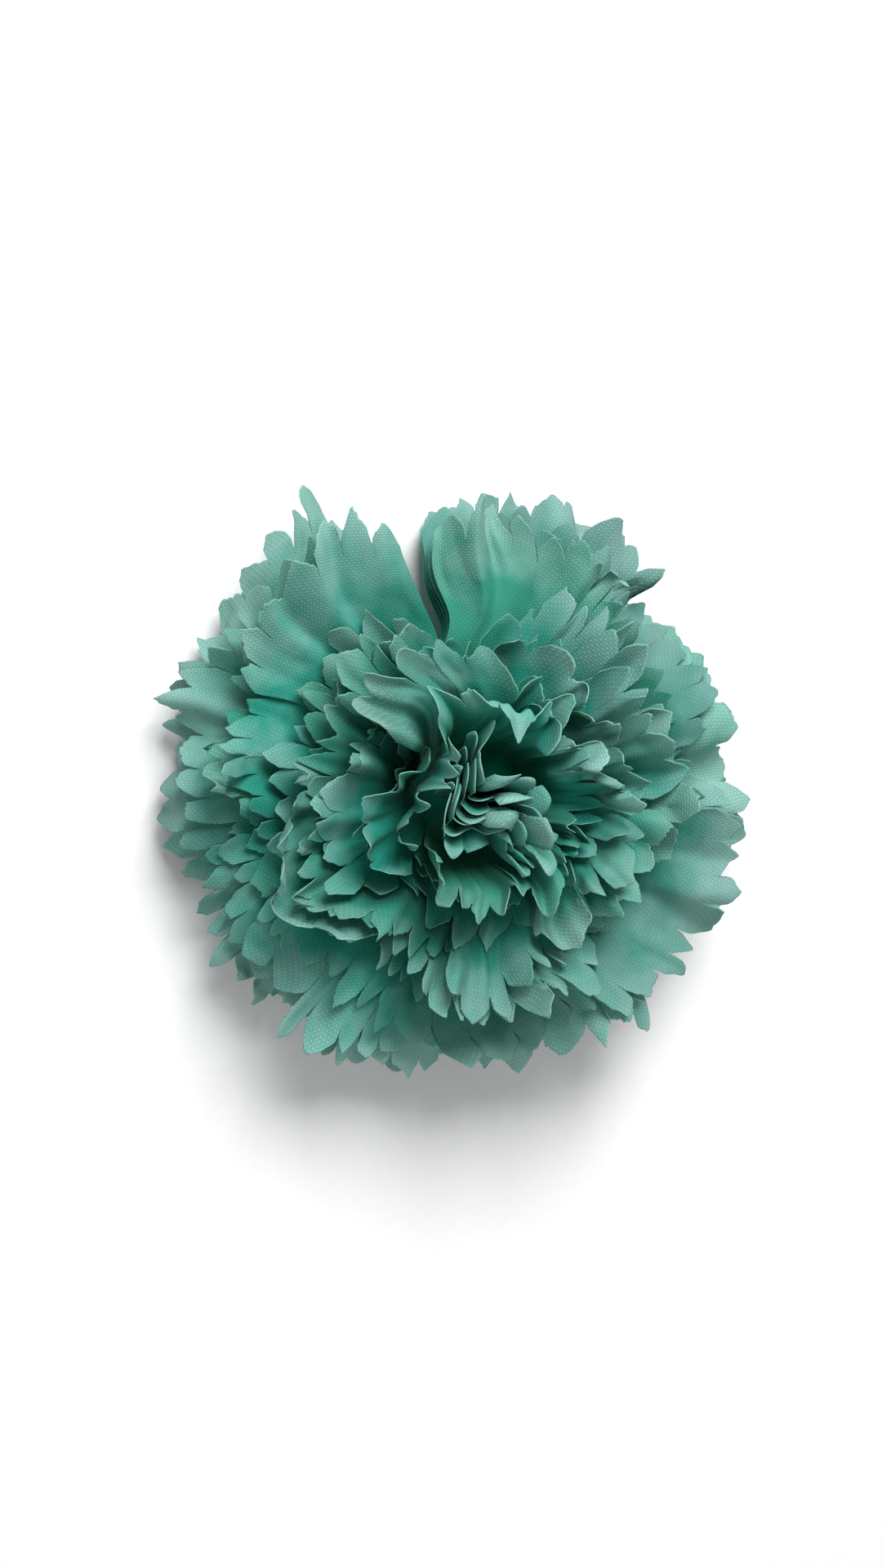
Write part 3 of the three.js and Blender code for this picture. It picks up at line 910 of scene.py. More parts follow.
def room_beside(
    number: int, past: list[np.ndarray], own: float, clear: tuple[float, float], free: float | np.ndarray
) -> list[np.ndarray]:
    """How far a layer of cloth may stray from its own place, counted in layers.

    A neighbour that ends short of a place leaves half of its own room free too.

    Args:
        number: the layer's own number.
        past: how far each place lies past the rim of each layer.
        own: the layer's own share of the way to the next one.
        clear: how far past a neighbour's rim its room starts to be free, and where it all is.
        free: how much further the layer may stray where no layer is left.

    Returns:
        The room towards the higher numbers and the room towards the lower ones.
    """
    sides = []
    for others in (range(number + 1, len(past)), range(number - 1, -1, -1)):
        room, share = np.full_like(past[number], own), np.ones_like(past[number])
        for other in others:
            share = share * smooth(past[other], *clear)
            room = room + share / 2
        sides.append(room + share * free)
    return sides


@dataclass(frozen=True)
class CornerFold:
    """Where a petal's corner may be folded over, with its places across as shares of the petal's half."""

    read_at: float = 0.7  # across, where its room is read
    beside: int = 10  # degrees to each side in which no rim may lie on it
    clear: float = 1.0  # from the rims above it to the fold
    deepest: float = 6.0
    least: float = 3.0
    at: float = 0.8
    width: float = 0.5


@dataclass
class PetalTier:
    """One die-cut tier: a hub disc with a hole, parting into toothed petals."""

    tier: int
    nest: Nest
    chosen: dict[int, dict[str, float]] = field(default_factory=dict)  # bends of single petals, by number
    cut_down: float = 1.0  # share of the die's length that the petals have
    thickness: float = 0.16
    first_seed: int = 1000
    seed_step: int = 17
    inner_rows: int = 11  # of a petal's grid, on the hub and up to the slits
    outer_rows: int = 26  # from there to the rim
    last_row: float = 0.3  # from the last row but one to the rim
    tooth_length: float = 8.0  # how much of a petal bends with its teeth
    crowding_most: float = 0.2  # radians by which a notched tier's petals may crowd to one side
    slit_past_turn: float = 4.6  # least cloth length from where the tier turns up to its slits
    imbrication: float = 1.5  # a petal's one side lies this much over the next petal's
    flutter_turns: float = 5.5  # of the fine waves, in radians, from a petal's middle to its side
    flutter_slant: float = 0.12  # radians by which they turn in each millimetre outwards
    cup_rest: float = 0.35  # share of a cup, and of a crease, by which the petal as a whole gives way to it
    crease_rest: float = 0.2
    notch_half_width: float = 5.5
    slit_half_width: float = 0.5
    own_room: float = 0.46  # of the way to the next tier, which the cloth may use
    clear: tuple[float, float] = (0.3, 4.5)  # past a rim, where its room starts to be free, and where it is
    free_room: float = 2.0  # levels more, where no tier is left
    corner: CornerFold = CornerFold()
    die: Die = field(init=False)
    start: float = field(init=False)  # angle where the first petal starts
    crowding: float = field(init=False)
    slit: float = field(init=False)  # cloth length where the petals part
    petals: list[Petal] = field(init=False)
    rim: np.ndarray = field(init=False)  # longest reach at each degree
    flat_area: float = field(init=False, default=0.0)

    def __post_init__(self) -> None:
        """Draws the tier's petals with its own seed, so that they are the same on each run."""
        self.die = DIES[self.tier]
        rng = np.random.default_rng(self.first_seed + self.seed_step * self.tier)
        self.start = (NOTCH_ANGLE if self.die.notched else self.tier * GOLDEN_ANGLE) % (2 * math.pi)
        self.crowding = self.crowding_most * math.cos(2 * self.tier) if self.die.notched else 0.0
        turned = self.nest.turn(self.tier) + self.slit_past_turn
        self.slit = max(self.die.length * self.die.slit_start, turned)
        self.petals = []
        for index in range(self.die.petals):
            drawn = Pose.drawn(rng, self.die, *self._notches(index))
            drawn = replace(drawn, scale=drawn.scale * self.cut_down)
            self.petals.append(Petal(self.die, rng, replace(drawn, **self.chosen.get(index, {}))))
        for index, petal in enumerate(self.petals):
            angle = self._angle(index, petal.across, petal.reach)
            petal.reach = petal.reach + sum(bulge.at(angle) for bulge in self.die.bulges)
        self.rim = self._rim()

    @property
    def name(self) -> str:
        """The CAD node that this tier stands for."""
        return f"petal_tier_{self.tier + 1:02d}"

    def _notches(self, index: int) -> tuple[bool, bool]:
        """Whether the notch is at a petal's one side, and at its other."""
        return self.die.notched and index == 0, self.die.notched and index == self.die.petals - 1

    def _rim(self) -> np.ndarray:
        """Finds the tier's longest reach round it.

        Returns:
            The longest reach within two degrees of each degree.
        """
        rims = np.zeros(360)
        degrees = np.radians(np.arange(360))
        for index, petal in enumerate(self.petals):
            angle = self._angle(index, petal.across, petal.reach)
            order = np.argsort(angle)
            for turns in (-1, 0, 1, 2):
                at = degrees + 2 * math.pi * turns
                rims = np.maximum(rims, np.interp(at, angle[order], petal.reach[order], left=0, right=0))
        return np.max([np.roll(rims, step) for step in (-2, -1, 0, 1, 2)], axis=0)

    def rim_at(self, angle: np.ndarray) -> np.ndarray:
        """The tier's longest reach at the given angles."""
        degrees = np.degrees(angle) % 360
        return np.interp(degrees, np.arange(361), np.append(self.rim, self.rim[0]))

    def _angle(self, index: int, across: np.ndarray, reach: np.ndarray) -> np.ndarray:
        """The angles of places on a petal.

        Args:
            index: the petal's number.
            across: from -1 at its one side to 1 at its other.
            reach: cloth length from the axis.

        Returns:
            The angles, in radians.
        """
        pose, die = self.petals[index].pose, self.die
        middle = self._round(np.array((index + 0.5) / die.petals))
        grown = smooth(reach, self.slit, die.length)
        at_notch = np.where(across < 0, *self._notches(index))
        spread = np.where(at_notch, 0, die.overlap) * grown * np.abs(across)
        angle = middle + (self._round((index + (across + 1) / 2) / die.petals) - middle) * (1 + spread)
        sway = pose.sway * grown * (1 - at_notch * np.abs(across))
        half_slit = np.where(at_notch, self.notch_half_width, self.slit_half_width) * self._past_slits(reach)
        return angle + (sway - across * half_slit) / np.maximum(reach, 1)

    def _round(self, share: np.ndarray) -> np.ndarray:
        """The angle at a share of the way round the tier, from the start of its first petal."""
        turn = 2 * math.pi * share
        return self.start + turn + self.crowding * (1 - np.cos(turn))

    def _past_slits(self, reach: np.ndarray) -> np.ndarray:
        """The share of the way from the slits to the die's rim, and up to a tenth past it."""
        return np.clip((reach - self.slit) / (self.die.length - self.slit), 0, 1.1)

    def build(self, tiers: list["PetalTier"], materials: list[bpy.types.Material]) -> bpy.types.Object:
        """Args:
            tiers: all of the head's tiers, which say how much room there is.
            materials: the cloth's face and cut edge.

        Returns:
            The piece.
        """
        grid = ClothGrid()
        for index in range(self.die.petals):
            self._petal(grid, index, tiers)
        piece = grid.piece(f"{self.name}_cloth", self.thickness, materials)
        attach(piece, BODY)
        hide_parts(self.name)
        LOG.info("%s: %d petals", piece.name, self.die.petals)
        return piece

    def _petal(self, grid: ClothGrid, index: int, tiers: list["PetalTier"]) -> None:
        """Adds one petal with its share of the hub.

        Args:
            grid: the tier's cloth.
            index: the petal's number.
            tiers: all of the head's tiers.
        """
        die, nest, petal = self.die, self.nest, self.petals[index]
        across, reach, pose = petal.across, petal.reach, petal.pose
        inner = np.linspace(nest.bore, self.slit, self.inner_rows)
        share = np.linspace(0, 1, self.outer_rows)[1:, None]
        outer = self.slit + (reach[None, :] - self.last_row - self.slit) * share
        s = np.concatenate([np.repeat(inner[:, None], len(across), axis=1), outer, reach[None, :]])
        u = np.broadcast_to(across, s.shape)
        tip = np.clip((s - (reach.max() - self.tooth_length)) / self.tooth_length, 0, 1)
        angle = self._angle(index, u, s) + petal.lean * tip**2 / np.maximum(s, 1)
        shift = self._bend(u, s, pose) + petal.curl * tip**2
        level = self.tier + self._levels(shift, s, angle, tiers) * (s > self.slit)
        points = nest.place(s, angle, level)
        pose = self._with_corner(index, tiers)
        if pose.fold:
            points = folded_over(points, s, u, pose)
        turn = 2 * math.pi * (index + (u + 1) / 2) / die.petals
        cut = np.stack([s * np.cos(turn), s * np.sin(turn), np.zeros_like(s)], axis=-1)
        # Reach along the painted shade-to-highlight ramp, then the petal's own tint and olive share.
        dye_and_shade = (die.painted_highlight_reach * s / die.length, np.full_like(s, 1 + pose.tint), np.full_like(s, pose.olive))
        grid.add(points, cut, np.stack(dye_and_shade, axis=-1))
        strips = (reach[1:] ** 2 + reach[:-1] ** 2) / 2 - nest.bore**2
        self.flat_area += float((strips * np.diff(across)).sum()) * math.pi / die.petals / 2

    def _with_corner(self, index: int, tiers: list["PetalTier"]) -> Pose:
        """Folds a petal's corner over where no other tier lies on it.

        Args:
            index: the petal's number.
            tiers: all of the head's tiers.

        Returns:
            The petal's pose, with the fold if there is room for it.
        """
        petal, corner = self.petals[index], self.corner
        pose = petal.pose
        if pose.fold or not pose.corner:
            return pose
        at = np.array([pose.corner * corner.read_at])
        reach = np.interp(at, petal.across, petal.reach)
        around = self._angle(index, at, reach) + np.radians(np.arange(-corner.beside, corner.beside + 1, 2))
        above = max([float(other.rim_at(around).max()) for other in tiers[self.tier + 1:]], default=0.0)
        start = max(above + corner.clear, float(reach[0]) - corner.deepest)
        if reach[0] - start < corner.least:
            return pose
        place = pose.corner * corner.at
        return replace(pose, fold=pose.corner_fold, fold_from=start, fold_at=place, fold_width=corner.width)

    def _bend(self, u: np.ndarray, s: np.ndarray, pose: Pose) -> np.ndarray:
        """Works out how far a petal's cloth stands off its tier's mean surface.

        Args:
            u: places across the petal, from -1 to 1.
            s: their cloth lengths.
            pose: the petal's pose.

        Returns:
            The distances, in millimetres, towards the axis if above 0.
        """
        grown = smooth(s, self.slit, self.die.length)
        late = self._past_slits(s)
        ridge = np.clip(1 - np.abs(u - pose.crease_at) / pose.crease_width, 0, 1)
        turn = self.flutter_turns * u
        flutter = np.sin(turn + pose.flutter_turn + self.flutter_slant * s)
        flutter = flutter + np.sin(2 * turn - pose.flutter_turn) / 2
        return (
            grown * (pose.lift + pose.cup * (u * u - self.cup_rest) + (pose.twist - self.imbrication) * u)
            + pose.curl * late**3
            + pose.crease * (ridge - self.crease_rest) * grown
            + pose.flutter * flutter * late**2
        )

    def _levels(
        self, shift: np.ndarray, s: np.ndarray, angle: np.ndarray, tiers: list["PetalTier"]
    ) -> np.ndarray:
        """Turns shifts to ones in levels, which stay between the tiers that lie next to this one.

        Args:
            shift: distances from the tier's mean surface, in millimetres.
            s: the places' cloth lengths.
            angle: their angles.
            tiers: all of the head's tiers.

        Returns:
            The shifts in levels.
        """
        gap = self.nest.gap(s, np.full_like(s, self.tier))
        past = [s - other.rim_at(angle) for other in tiers]
        sides = room_beside(self.tier, past, self.own_room, self.clear, self.free_room)
        limit = np.where(shift > 0, *sides)
        return limit * np.tanh(shift / (limit * gap + 1e-6))


def folded_over(points: np.ndarray, s: np.ndarray, u: np.ndarray, pose: Pose) -> np.ndarray:
    """Turns a petal's tip over, from the pose's fold on.

    Args:
        points: rows by columns of points, from the hub to the rim.
        s: their cloth lengths.
        u: their places across the petal, from -1 to 1.
        pose: the petal's pose.

    Returns:
        The moved points, as far apart along each column as they were.
    """
    made = points.copy()
    for row in range(1, len(s)):
        step = points[row] - points[row - 1]
        near = smooth(1 - np.abs(u[row] - pose.fold_at) / pose.fold_width, 0, FOLD_FADE)
        turn = math.radians(pose.fold) * smooth(s[row], pose.fold_from, pose.fold_from + FOLD_LENGTH) * near
        length = np.linalg.norm(step, axis=-1, keepdims=True)
        along = step / np.maximum(length, 1e-9)
        inward = -points[row] * np.array([1, 1, 0])
        side = inward - along * (inward * along).sum(-1, keepdims=True)
        side /= np.maximum(np.linalg.norm(side, axis=-1, keepdims=True), 1e-6)
        made[row] = made[row - 1] + length * (along * np.cos(turn)[:, None] + side * np.sin(turn)[:, None])
    return made


@dataclass
class HeartLeaf:
    """One ruffled leaf of a folded disc: its toothed rim, as cut, and how its teeth are bent.

    A wave's turns are its radians from the leaf's middle to its side.
    """

    number: int  # from one side of the heart to the other
    height: float
    teeth: int
    per_tooth: int = 12  # columns of the grid
    first_seed: int = 500
    lengths: tuple[float, float] = (-2.4, 1.3)  # of the teeth, past the leaf's own height
    slit_length: float = -0.8  # the same for the column at a slit
    tooth_depths: tuple[float, float] = (0.9, 2.8)
    tooth_power: float = 1.6  # by which a tooth falls off from its tip
    slit_depths: tuple[float, float] = (0.5, 3.2)
    rises: tuple[float, float] = (-1.8, 1.2)  # of the leaf as a whole
    wave: float = 1.6  # height of the slow wave along its rim
    wave_turns: float = 3.7
    flutter_heights: tuple[float, float] = (0.3, 0.22)  # of its two fine waves, square to it
    flutter_turns: tuple[float, float] = (4.7 * math.pi, 9.0)
    end_drop: float = 2.4  # how much lower its two ends are
    bend_spread: float = 2.5  # of the teeth, square to the leaf
    lean_spread: float = 0.4  # of the teeth, along it
    tints: tuple[float, float] = (0.94, 1.14)
    most_olive: float = 0.15
    along: np.ndarray = field(init=False)  # each column's place, from -1 to 1
    rim: np.ndarray = field(init=False)  # its height
    bend: np.ndarray = field(init=False)  # its tooth's bends
    lean: np.ndarray = field(init=False)
    phases: np.ndarray = field(init=False)  # of the leaf's two fine waves
    tint: float = field(init=False)
    olive: float = field(init=False)

    def __post_init__(self) -> None:
        """Draws the leaf with its own seed, so that it is the same on each run."""
        rng = np.random.default_rng(self.first_seed + self.number)
        columns = np.arange(self.teeth * self.per_tooth + 1)
        along = columns / columns[-1] * 2 - 1
        tooth = np.minimum(columns // self.per_tooth, self.teeth - 1)
        share = (columns % self.per_tooth) / self.per_tooth
        slit = share == 0
        length = np.where(slit, self.slit_length, rng.uniform(*self.lengths, self.teeth)[tooth])
        off = np.abs(2 * share - 1)
        rounded = rng.uniform(*self.tooth_depths, self.teeth)[tooth] * off**self.tooth_power
        rise = rng.uniform(*self.rises) + self.wave * np.sin(self.wave_turns * along + rng.uniform(0, 6))
        depth = np.where(slit, rng.uniform(*self.slit_depths, len(columns)), 0)
        self.along = along
        self.rim = self.height - self.end_drop * along**4 + length - rounded + rise - depth
        self.bend = rng.normal(0, self.bend_spread, self.teeth)[tooth] * np.where(slit, 0.5, 1)
        self.lean = rng.normal(0, self.lean_spread, self.teeth)[tooth] * np.where(slit, 0, 1)
        self.phases = rng.uniform(0, 6, 2)
        self.tint = rng.uniform(*self.tints)
        self.olive = rng.uniform(0, self.most_olive)

    def flutter(self) -> np.ndarray:
        """The leaf's two fine waves at each column, in millimetres."""
        waves = zip(self.flutter_heights, self.flutter_turns, self.phases)
        return sum(height * np.sin(turns * self.along + phase) for height, turns, phase in waves)


@dataclass
class Heart:
    """Discs folded in two and pinched side by side on the button, each standing as two ruffled leaves."""

    nest: Nest
    materials: list[bpy.types.Material]
    folds: int = 4
    pitch: float = 2.9  # from one fold to the next at the rim
    foot_pitch: float = 0.45  # share of it that is left at the pinched foot
    height: float = 15.5
    highest: float = 1.15  # the share of that height up to which the leaves spread
    foot_half: float = 3.4  # half the leaves' length at the foot
    rim_half: float = 14.5  # the same at the rim
    outer_shorter: float = 0.1  # share by which each fold is shorter than the one inside it
    waves: float = 1.8  # of the ruffle, in half turns, from the leaves' middle to their sides
    wave_step: float = 0.22  # radians by which it turns from one fold to the next
    swing: float = 3.2  # how far the ruffle swings
    turn: float = math.radians(-38)
    stray_growth: float = 1.5  # the power by which the leaves' own bends grow upwards
    own_room: float = 0.27  # of the way to the next leaf, which a leaf may use
    clear: tuple[float, float] = (0.2, 2.2)  # past a rim, where its room starts to be free, and where it is
    free_room: float = 1.6  # leaves more, where no leaf is left
    bound_height: float = 2.0  # up to which it doesn't
    tip_length: float = 5.5  # how much of a tooth bends
    tip_sink: float = 0.2  # share of its bend by which a tooth's tip sinks
    crumpled_from: tuple[float, float] = (1.0, 12.0)  # heights
    shades: tuple[float, float] = (0.3, 0.6)  # reach along the painted shade-to-highlight ramp at the foot, and how much more at the height
    thickness: float = 0.16
    rows: int = 22
    last_row: float = 0.3  # from the last row but one to the rim
    tooth_width: float = 5.2

    def build(self) -> None:
        teeth = round(2 * self.rim_half / self.tooth_width)
        leaves = [HeartLeaf(number, self.height, teeth) for number in range(2 * self.folds)]
        for fold in range(self.folds):
            node = f"heart_fold_{fold + 1}"
            foot = box_mm(node)[0][2]
            grid = ClothGrid()
            area = sum(self._leaf(grid, leaves, number, foot) for number in (2 * fold, 2 * fold + 1))
            piece = grid.piece(f"{node}_cloth", self.thickness, self.materials)
            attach(piece, BODY)
            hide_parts(node)
            LOG.info("%s: two leaves", piece.name)

    def _leaf(self, grid: ClothGrid, leaves: list[HeartLeaf], number: int, foot: float) -> float:
        """Adds one leaf.

        Args:
            grid: its fold's cloth.
            leaves: all of the heart's leaves.
            number: the leaf's own number.
            foot: the height of its foot.

        Returns:
            Its area in the flat, in square millimetres.
        """
        leaf = leaves[number]
        along, rim = leaf.along, leaf.rim
        side = (number - (len(leaves) - 1) / 2) / 2  # in folds from the heart's middle
        shares = np.linspace(0, 1, self.rows)[:, None]
        z = np.concatenate([shares[:-1] * (rim - self.last_row), rim[None, :]])
        up = self._up(z)
        tip = np.clip((z - rim + self.tip_length) / self.tip_length, 0, 1)
        stray = (leaf.flutter() + leaf.bend * tip**2) * up**self.stray_growth
        stray = self._kept_apart(leaves, number, z, stray)
        half = self.foot_half + (self.rim_half - self.foot_half) * up
        x = (1 - self.outer_shorter * abs(side)) * along * half + leaf.lean * tip
        ruffle = self.swing * up * np.sin(self.waves * math.pi * along + self.wave_step * side)
        y = self._spacing(up) * 2 * side + ruffle + stray
        cos, sin = math.cos(self.turn), math.sin(self.turn)
        height = foot + z - self.tip_sink * np.abs(stray) * tip
        points = np.stack([x * cos - y * sin, x * sin + y * cos, height], axis=-1)
        points = self.nest.crumpled(points, smooth(z, *self.crumpled_from))
        facing = 1 if number % 2 else -1
        flat = np.broadcast_to(along * self.rim_half, z.shape)
        cut = np.stack([flat, facing * (z + 1), np.zeros_like(z)], axis=-1)
        # Darker at the foot as painted shade, paler upwards as painted highlight.
        reach = self.shades[0] + self.shades[1] * up
        shade = np.stack([reach, np.full_like(z, leaf.tint), np.full_like(z, leaf.olive)], axis=-1)
        grid.add(points, cut, shade)
        return float((rim * np.gradient(along) * (self.foot_half + self.rim_half) / 2).sum())

    def _up(self, z: np.ndarray) -> np.ndarray:
        """The share of the leaves' height at the given heights above their foot."""
        return np.clip(z / self.height, 0, self.highest)

    def _spacing(self, up: np.ndarray) -> np.ndarray:
        """The distance from one leaf to the next."""
        return self.pitch / 2 * (self.foot_pitch + (1 - self.foot_pitch) * up)

    def _kept_apart(
        self, leaves: list[HeartLeaf], number: int, z: np.ndarray, shift: np.ndarray
    ) -> np.ndarray:
        """Holds a leaf back from the leaves beside it, over which it may lean where they end short.

        Args:
            leaves: all of the heart's leaves.
            number: the leaf's own number.
            z: its places' heights above its foot.
            shift: how far each would stray sideways.

        Returns:
            How far each strays.
        """
        past = [z - leaf.rim for leaf in leaves]
        free = self.free_room * (z > self.bound_height)
        sides = room_beside(number, past, self.own_room, self.clear, free)
        limit = np.where(shift > 0, *sides) * self._spacing(self._up(z))
        return limit * np.tanh(shift / limit)


@dataclass
class Calyx:
    """The moulded calyx: a ribbed cup with five pointed sepals, which stands on a beaded foot."""

    material: bpy.types.Material
    sepals: int = 5
    ribs: int = 30
    rib_height: float = 0.16
    ribs_from: tuple[float, float] = (2.0, 4.0)  # heights where the ribs start, and where they are full
    wall: float = 1.0
    foot_radius: float = 6.0
    recess_radius: float = 4.5  # under the floor, for the post's flange
    recess_height: float = 2.2
    bore_radius: float = 1.8
    floor_height: float = 4.4  # of the cup's inside
    bead: float = 0.9
    bead_height: float = 1.2
    bead_width: float = 0.7
    mouth_radius: float = 9.2
    waist: float = 1.1  # the cup is this much fuller than a straight cone
    cut_depth: float = 6.5  # from a sepal's tip to the cut between two sepals
    cut_power: float = 1.25  # how pointed a sepal is
    edge_round: float = 0.35  # share of the wall's thickness by which the sepals' edge is lower inside
    edge_from: float = 0.98  # share of the way up from which it is
    edge_drop: float = 0.2  # how much lower the whole inside is there
    flare: float = 0.5  # the sepals' tips stand this much out
    flare_from: float = 0.75  # share of the height
    columns: int = 360
    rows: int = 60

    def build(self) -> bpy.types.Object:
        """Builds the calyx and puts it in the CAD cup's place.

        Returns:
            The piece.
        """
        low, high = box_mm("calyx_cup")
        tall = high[2] - low[2]
        turn = np.linspace(0, 2 * math.pi, self.columns, endpoint=False)
        off = np.abs((turn * self.sepals / (2 * math.pi) + 0.5) % 1 - 0.5) * 2  # 0 in a cut, 1 at a tip
        top = tall - self.cut_depth * (1 - off) ** self.cut_power
        outer, inner = (self._skin(turn, top, tall, inset) for inset in (0.0, self.wall))
        foot, roof = (self._ring(turn, self.recess_radius, height) for height in (0.0, self.recess_height))
        floor = self._ring(turn, self.bore_radius, self.floor_height)
        bore = self._ring(turn, self.bore_radius, self.recess_height)
        rings = np.concatenate([foot, outer, inner[::-1], floor, bore, roof])
        index = np.arange(len(rings) * self.columns).reshape(len(rings), self.columns)
        lower = np.roll(index, -1, axis=0)
        quads = np.stack([index, np.roll(index, -1, axis=1), np.roll(lower, -1, axis=1), lower], axis=-1)
        mesh = bpy.data.meshes.new("calyx_cup_moulded")
        mesh.from_pydata((rings.reshape(-1, 3) * MM).tolist(), [], quads.reshape(-1, 4).tolist())
        mesh.validate()
        mesh.shade_smooth()
        mesh.materials.append(self.material)
        piece = linked("calyx_cup_moulded", mesh)
        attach(piece, BODY)
        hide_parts("calyx_cup")
        LOG.info("%s: %d sepals", piece.name, self.sepals)
        return piece

    @staticmethod
    def _ring(turn: np.ndarray, radius: np.ndarray | float, height: np.ndarray | float) -> np.ndarray:
        """Rows by columns of points, or one row where the radius and the height are plain numbers."""
        x, y = np.atleast_2d(radius * np.cos(turn)), np.atleast_2d(radius * np.sin(turn))
        return np.stack([x, y, np.broadcast_to(height, x.shape)], axis=-1)

    def _skin(self, turn: np.ndarray, top: np.ndarray, tall: float, inset: float) -> np.ndarray:
        """Makes one side of the cup's wall, up to the sepals' edge.

        Args:
            turn: each column's angle.
            top: each column's height.
            tall: the whole cup's.
            inset: how far it is set in: 0 for the outside, the wall's thickness for the inside.

        Returns:
            Rows by columns of points.
        """
        share = np.linspace(0, 1, self.rows)[:, None]
        z = share * (top - self.edge_round * inset * (share > self.edge_from))
        if inset:
            z = self.floor_height + (z / np.maximum(top, 1)) * (top - self.edge_drop - self.floor_height)
        up = z / tall
        radius = self.foot_radius + (self.mouth_radius - self.foot_radius) * up
        radius = radius + self.waist * np.sin(math.pi * np.clip(up, 0, 1)) - inset
        if not inset:
            radius = radius + self.bead * np.exp(-(((z - self.bead_height) / self.bead_width) ** 2)) * (z > 0)
            radius = radius + self.rib_height * np.cos(self.ribs * turn) * smooth(z, *self.ribs_from)
        radius = radius + self.flare * smooth(up, self.flare_from, 1.0)
        radius = np.minimum(radius, self.mouth_radius + self.flare - inset)
        return self._ring(turn, radius, z)


# ---- Studio ----
@dataclass(frozen=True)
class SoftLight:
    """A square soft light that points at the head's middle."""

    name: str
    place: tuple[float, float, float]  # from the head's middle, in metres
    size: float
    power: float  # in watts

    def build(self, aim: Vector) -> None:
        """Makes the light.

        Args:
            aim: the head's middle.
        """
        data = bpy.data.lights.new(self.name, "AREA")
        data.size = self.size
        data.energy = self.power
        lamp = linked(self.name, data)
        lamp.location = aim + Vector(self.place)
        lamp.rotation_euler = (-Vector(self.place)).to_track_quat("-Z", "Y").to_euler()


@dataclass
class Studio:
    """A plain pale floor, soft lights and the camera, all placed from the head's own box, in metres."""

    floor: str = "#F6F6F6"
    floor_grain: str = "#FAFAFA"
    floor_half: float = 0.75
    lights: tuple[SoftLight, ...] = (
        SoftLight("key", (0.02, 0.44, 0.56), 0.36, 6.35),
        SoftLight("fill", (-0.4, -0.25, 0.7), 0.6, 0.7),
        SoftLight("side_fill", (0.4, -0.55, 0.24), 0.7, 1.1),
    )
    air_light: float = 0.28
    backdrop: float = 0.93  # how bright the far backdrop shows, which gives no light of its own
    view_width: float = 0.139  # what the frame takes in across, at the head
    aim: tuple[float, float, float] = (-0.0037, 0.002, 0.0)  # from the head's middle to the picture's
    distance: float = 0.42
    lean: tuple[float, float] = (-0.27, 0.10)  # how far the camera stands to the left and to the back

    def build(self) -> None:
        """Makes the floor, the lights and the camera."""
        low, high = (Vector(corner) for corner in CAD_BOX)
        centre = (low + high) / 2
        self._floor(low.z)
        for light in self.lights:
            light.build(centre)
        self._air()
        self._camera(centre + Vector(self.aim))

    def _air(self) -> None:
        """The even light from all sides, and the backdrop that the camera sees past the floor."""
        world = bpy.data.worlds.new("studio_light")
        bpy.context.scene.world = world
        world.use_nodes = True
        tree = world.node_tree
        tree.nodes.clear()
        seen = add_node(tree, "ShaderNodeLightPath").outputs["Is Camera Ray"]
        strength = add_node(tree, "ShaderNodeMapRange", {3: self.air_light, 4: self.backdrop}, {0: seen})
        air = add_node(
            tree, "ShaderNodeBackground", {"Color": (1.0, 1.0, 1.0, 1.0)}, {"Strength": strength.outputs[0]}
        )
        add_node(tree, "ShaderNodeOutputWorld", links={"Surface": air.outputs[0]})

    def _floor(self, height: float) -> None:
        """Makes the floor that the head stands on.

        Args:
            height: the floor's, in metres.
        """
        half = self.floor_half
        mesh = bpy.data.meshes.new("floor")
        corners = [(-half, -half, height), (half, -half, height), (half, half, height), (-half, half, height)]
        mesh.from_pydata(corners, [], [(0, 1, 2, 3)])
        material, tree = new_material("matt_paper_sheet")
        grain = add_node(tree, "ShaderNodeTexNoise", {"Scale": 900.0, "Detail": 2.0})
        tone = add_node(
            tree,
            "ShaderNodeMix",
            {"data_type": "RGBA", 6: linear(self.floor), 7: linear(self.floor_grain)},
            {"Factor": grain.outputs[0]},
        )
        paper = add_node(
            tree,
            "ShaderNodeBsdfPrincipled",
            {"Roughness": 0.95, "Specular IOR Level": 0.1},
            {"Base Color": tone.outputs[2]},
        )
        add_node(tree, "ShaderNodeOutputMaterial", links={"Surface": paper.outputs[0]})
        mesh.materials.append(material)
        linked("studio_floor", mesh)

    def _camera(self, aim: Vector) -> None:
        """Makes the camera, a little off straight above, with +Y up in its picture.

        Args:
            aim: the point in the middle of its picture.
        """
        away = Vector((*self.lean, 1.0)).normalized()
        data = bpy.data.cameras.new("camera")
        data.sensor_fit = "HORIZONTAL"
        data.sensor_width = 36.0
        data.lens = data.sensor_width * self.distance / self.view_width
        camera = linked("camera", data)
        right = Vector((0, 1, 0)).cross(away).normalized()
        turned = Matrix((right, away.cross(right), away)).transposed().to_4x4()
        camera.matrix_world = Matrix.Translation(aim + away * self.distance) @ turned
        bpy.context.scene.camera = camera


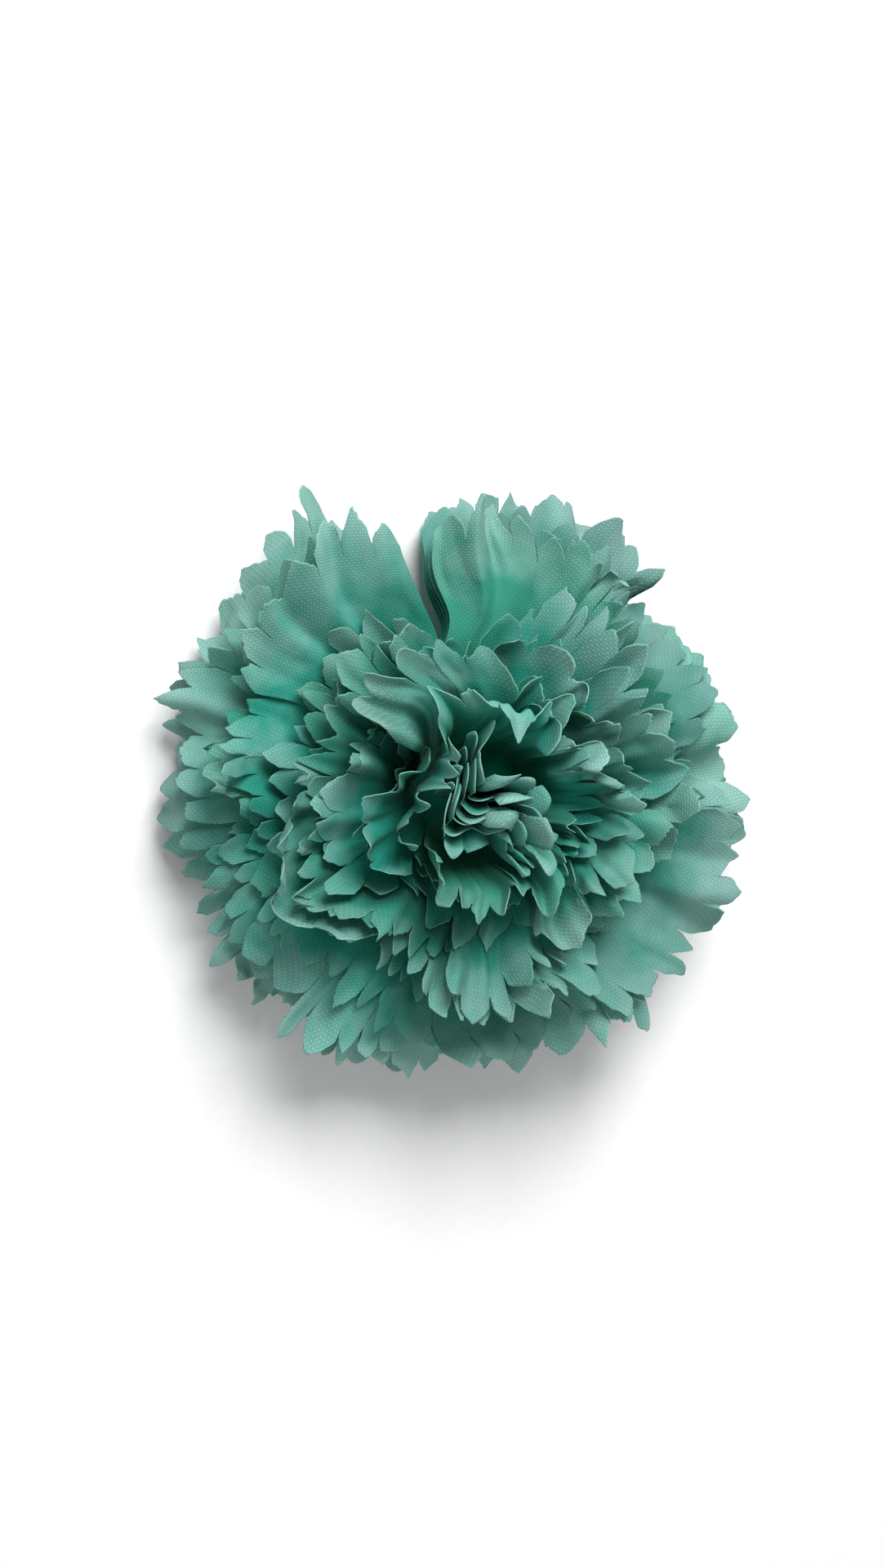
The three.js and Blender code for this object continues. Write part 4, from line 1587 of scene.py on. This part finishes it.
@dataclass
class CarnationHead:
    """The whole head: the nest that sets the tiers' places, the tiers, the heart and the moulded pieces."""

    nest: Nest
    cloth: PlainWovenPolyester = PlainWovenPolyester()
    calyx: MouldedPolyethylene = MouldedPolyethylene("moulded_polyethylene_calyx", "#3F7A3A", "#5F9A50")
    post: MouldedPolyethylene = MouldedPolyethylene("moulded_polyethylene_post", "#376B35", "#4E8547")
    cut_downs: tuple[float, ...] = (
        *(1.06, 1.06, 1.01, 0.96, 0.87),  # the large tiers
        *(1.06, 0.98, 1.02, 0.93),  # the medium ones
        *(1.05, 0.94, 1.05, 0.95),  # the small ones
    )

    @staticmethod
    def from_frame() -> "CarnationHead":
        """Reads the hubs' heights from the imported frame.

        Returns:
            The head.
        """
        first = box_mm("calyx_cup")[1][2] + HUB_GAP
        last = box_mm("post_button")[0][2] - HUB_GAP
        return CarnationHead(Nest(first_hub=first, pitch=(last - first) / TOP, bore=TIER_BORE))

    def build(self) -> None:
        """Builds and dresses every piece."""
        materials = [self.cloth.material(part) for part in ClothPart]
        tiers = [
            PetalTier(tier, self.nest, CHOSEN_POSES.get(tier, {}), cut_down)
            for tier, cut_down in enumerate(self.cut_downs)
        ]
        for tier in tiers:
            tier.build(tiers, materials)
        Heart(self.nest, materials).build()
        Calyx(self.calyx.material()).build()
        moulded = self.post.material()
        for node in ("centre_post", "hub_washer", "post_button"):
            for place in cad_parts[node].material_slots:
                place.material = moulded


# The petals that are bent one by one, by their tier's number and their own: the two tall ones beside the
# notch, a flat one across from them, and one whose tip is folded over behind the heart.
CHOSEN_POSES: dict[int, dict[int, dict[str, float]]] = {
    4: {
        0: {"lift": 1.5, "cup": 2.5, "crease": 1.5, "scale": 1.0, "curl": 2.0, "sway": 1.0, "slant": -2.2},
        6: {
            "lift": 2.5,
            "cup": 0.5,
            "crease": 10.0,
            "crease_at": 0.62,
            "crease_width": 0.3,
            "scale": 0.99,
            "curl": 3.0,
            "slant": 2.6,
        },
        4: {"lift": 1.0, "cup": -0.5, "crease": 0.8, "scale": 1.0, "curl": -1.0},
    },
    12: {
        3: {"fold": 115.0, "fold_from": 26.5, "fold_at": -0.3, "scale": 1.05, "tint": 0.16, "teeth": 4},
    },
}


def main() -> None:
    """Builds the head and the studio."""
    logging.basicConfig(level=logging.INFO)
    bpy.context.scene.view_settings.view_transform = "Standard"
    Studio().build()
    CarnationHead.from_frame().build()


if __name__ == "__main__":
    main()
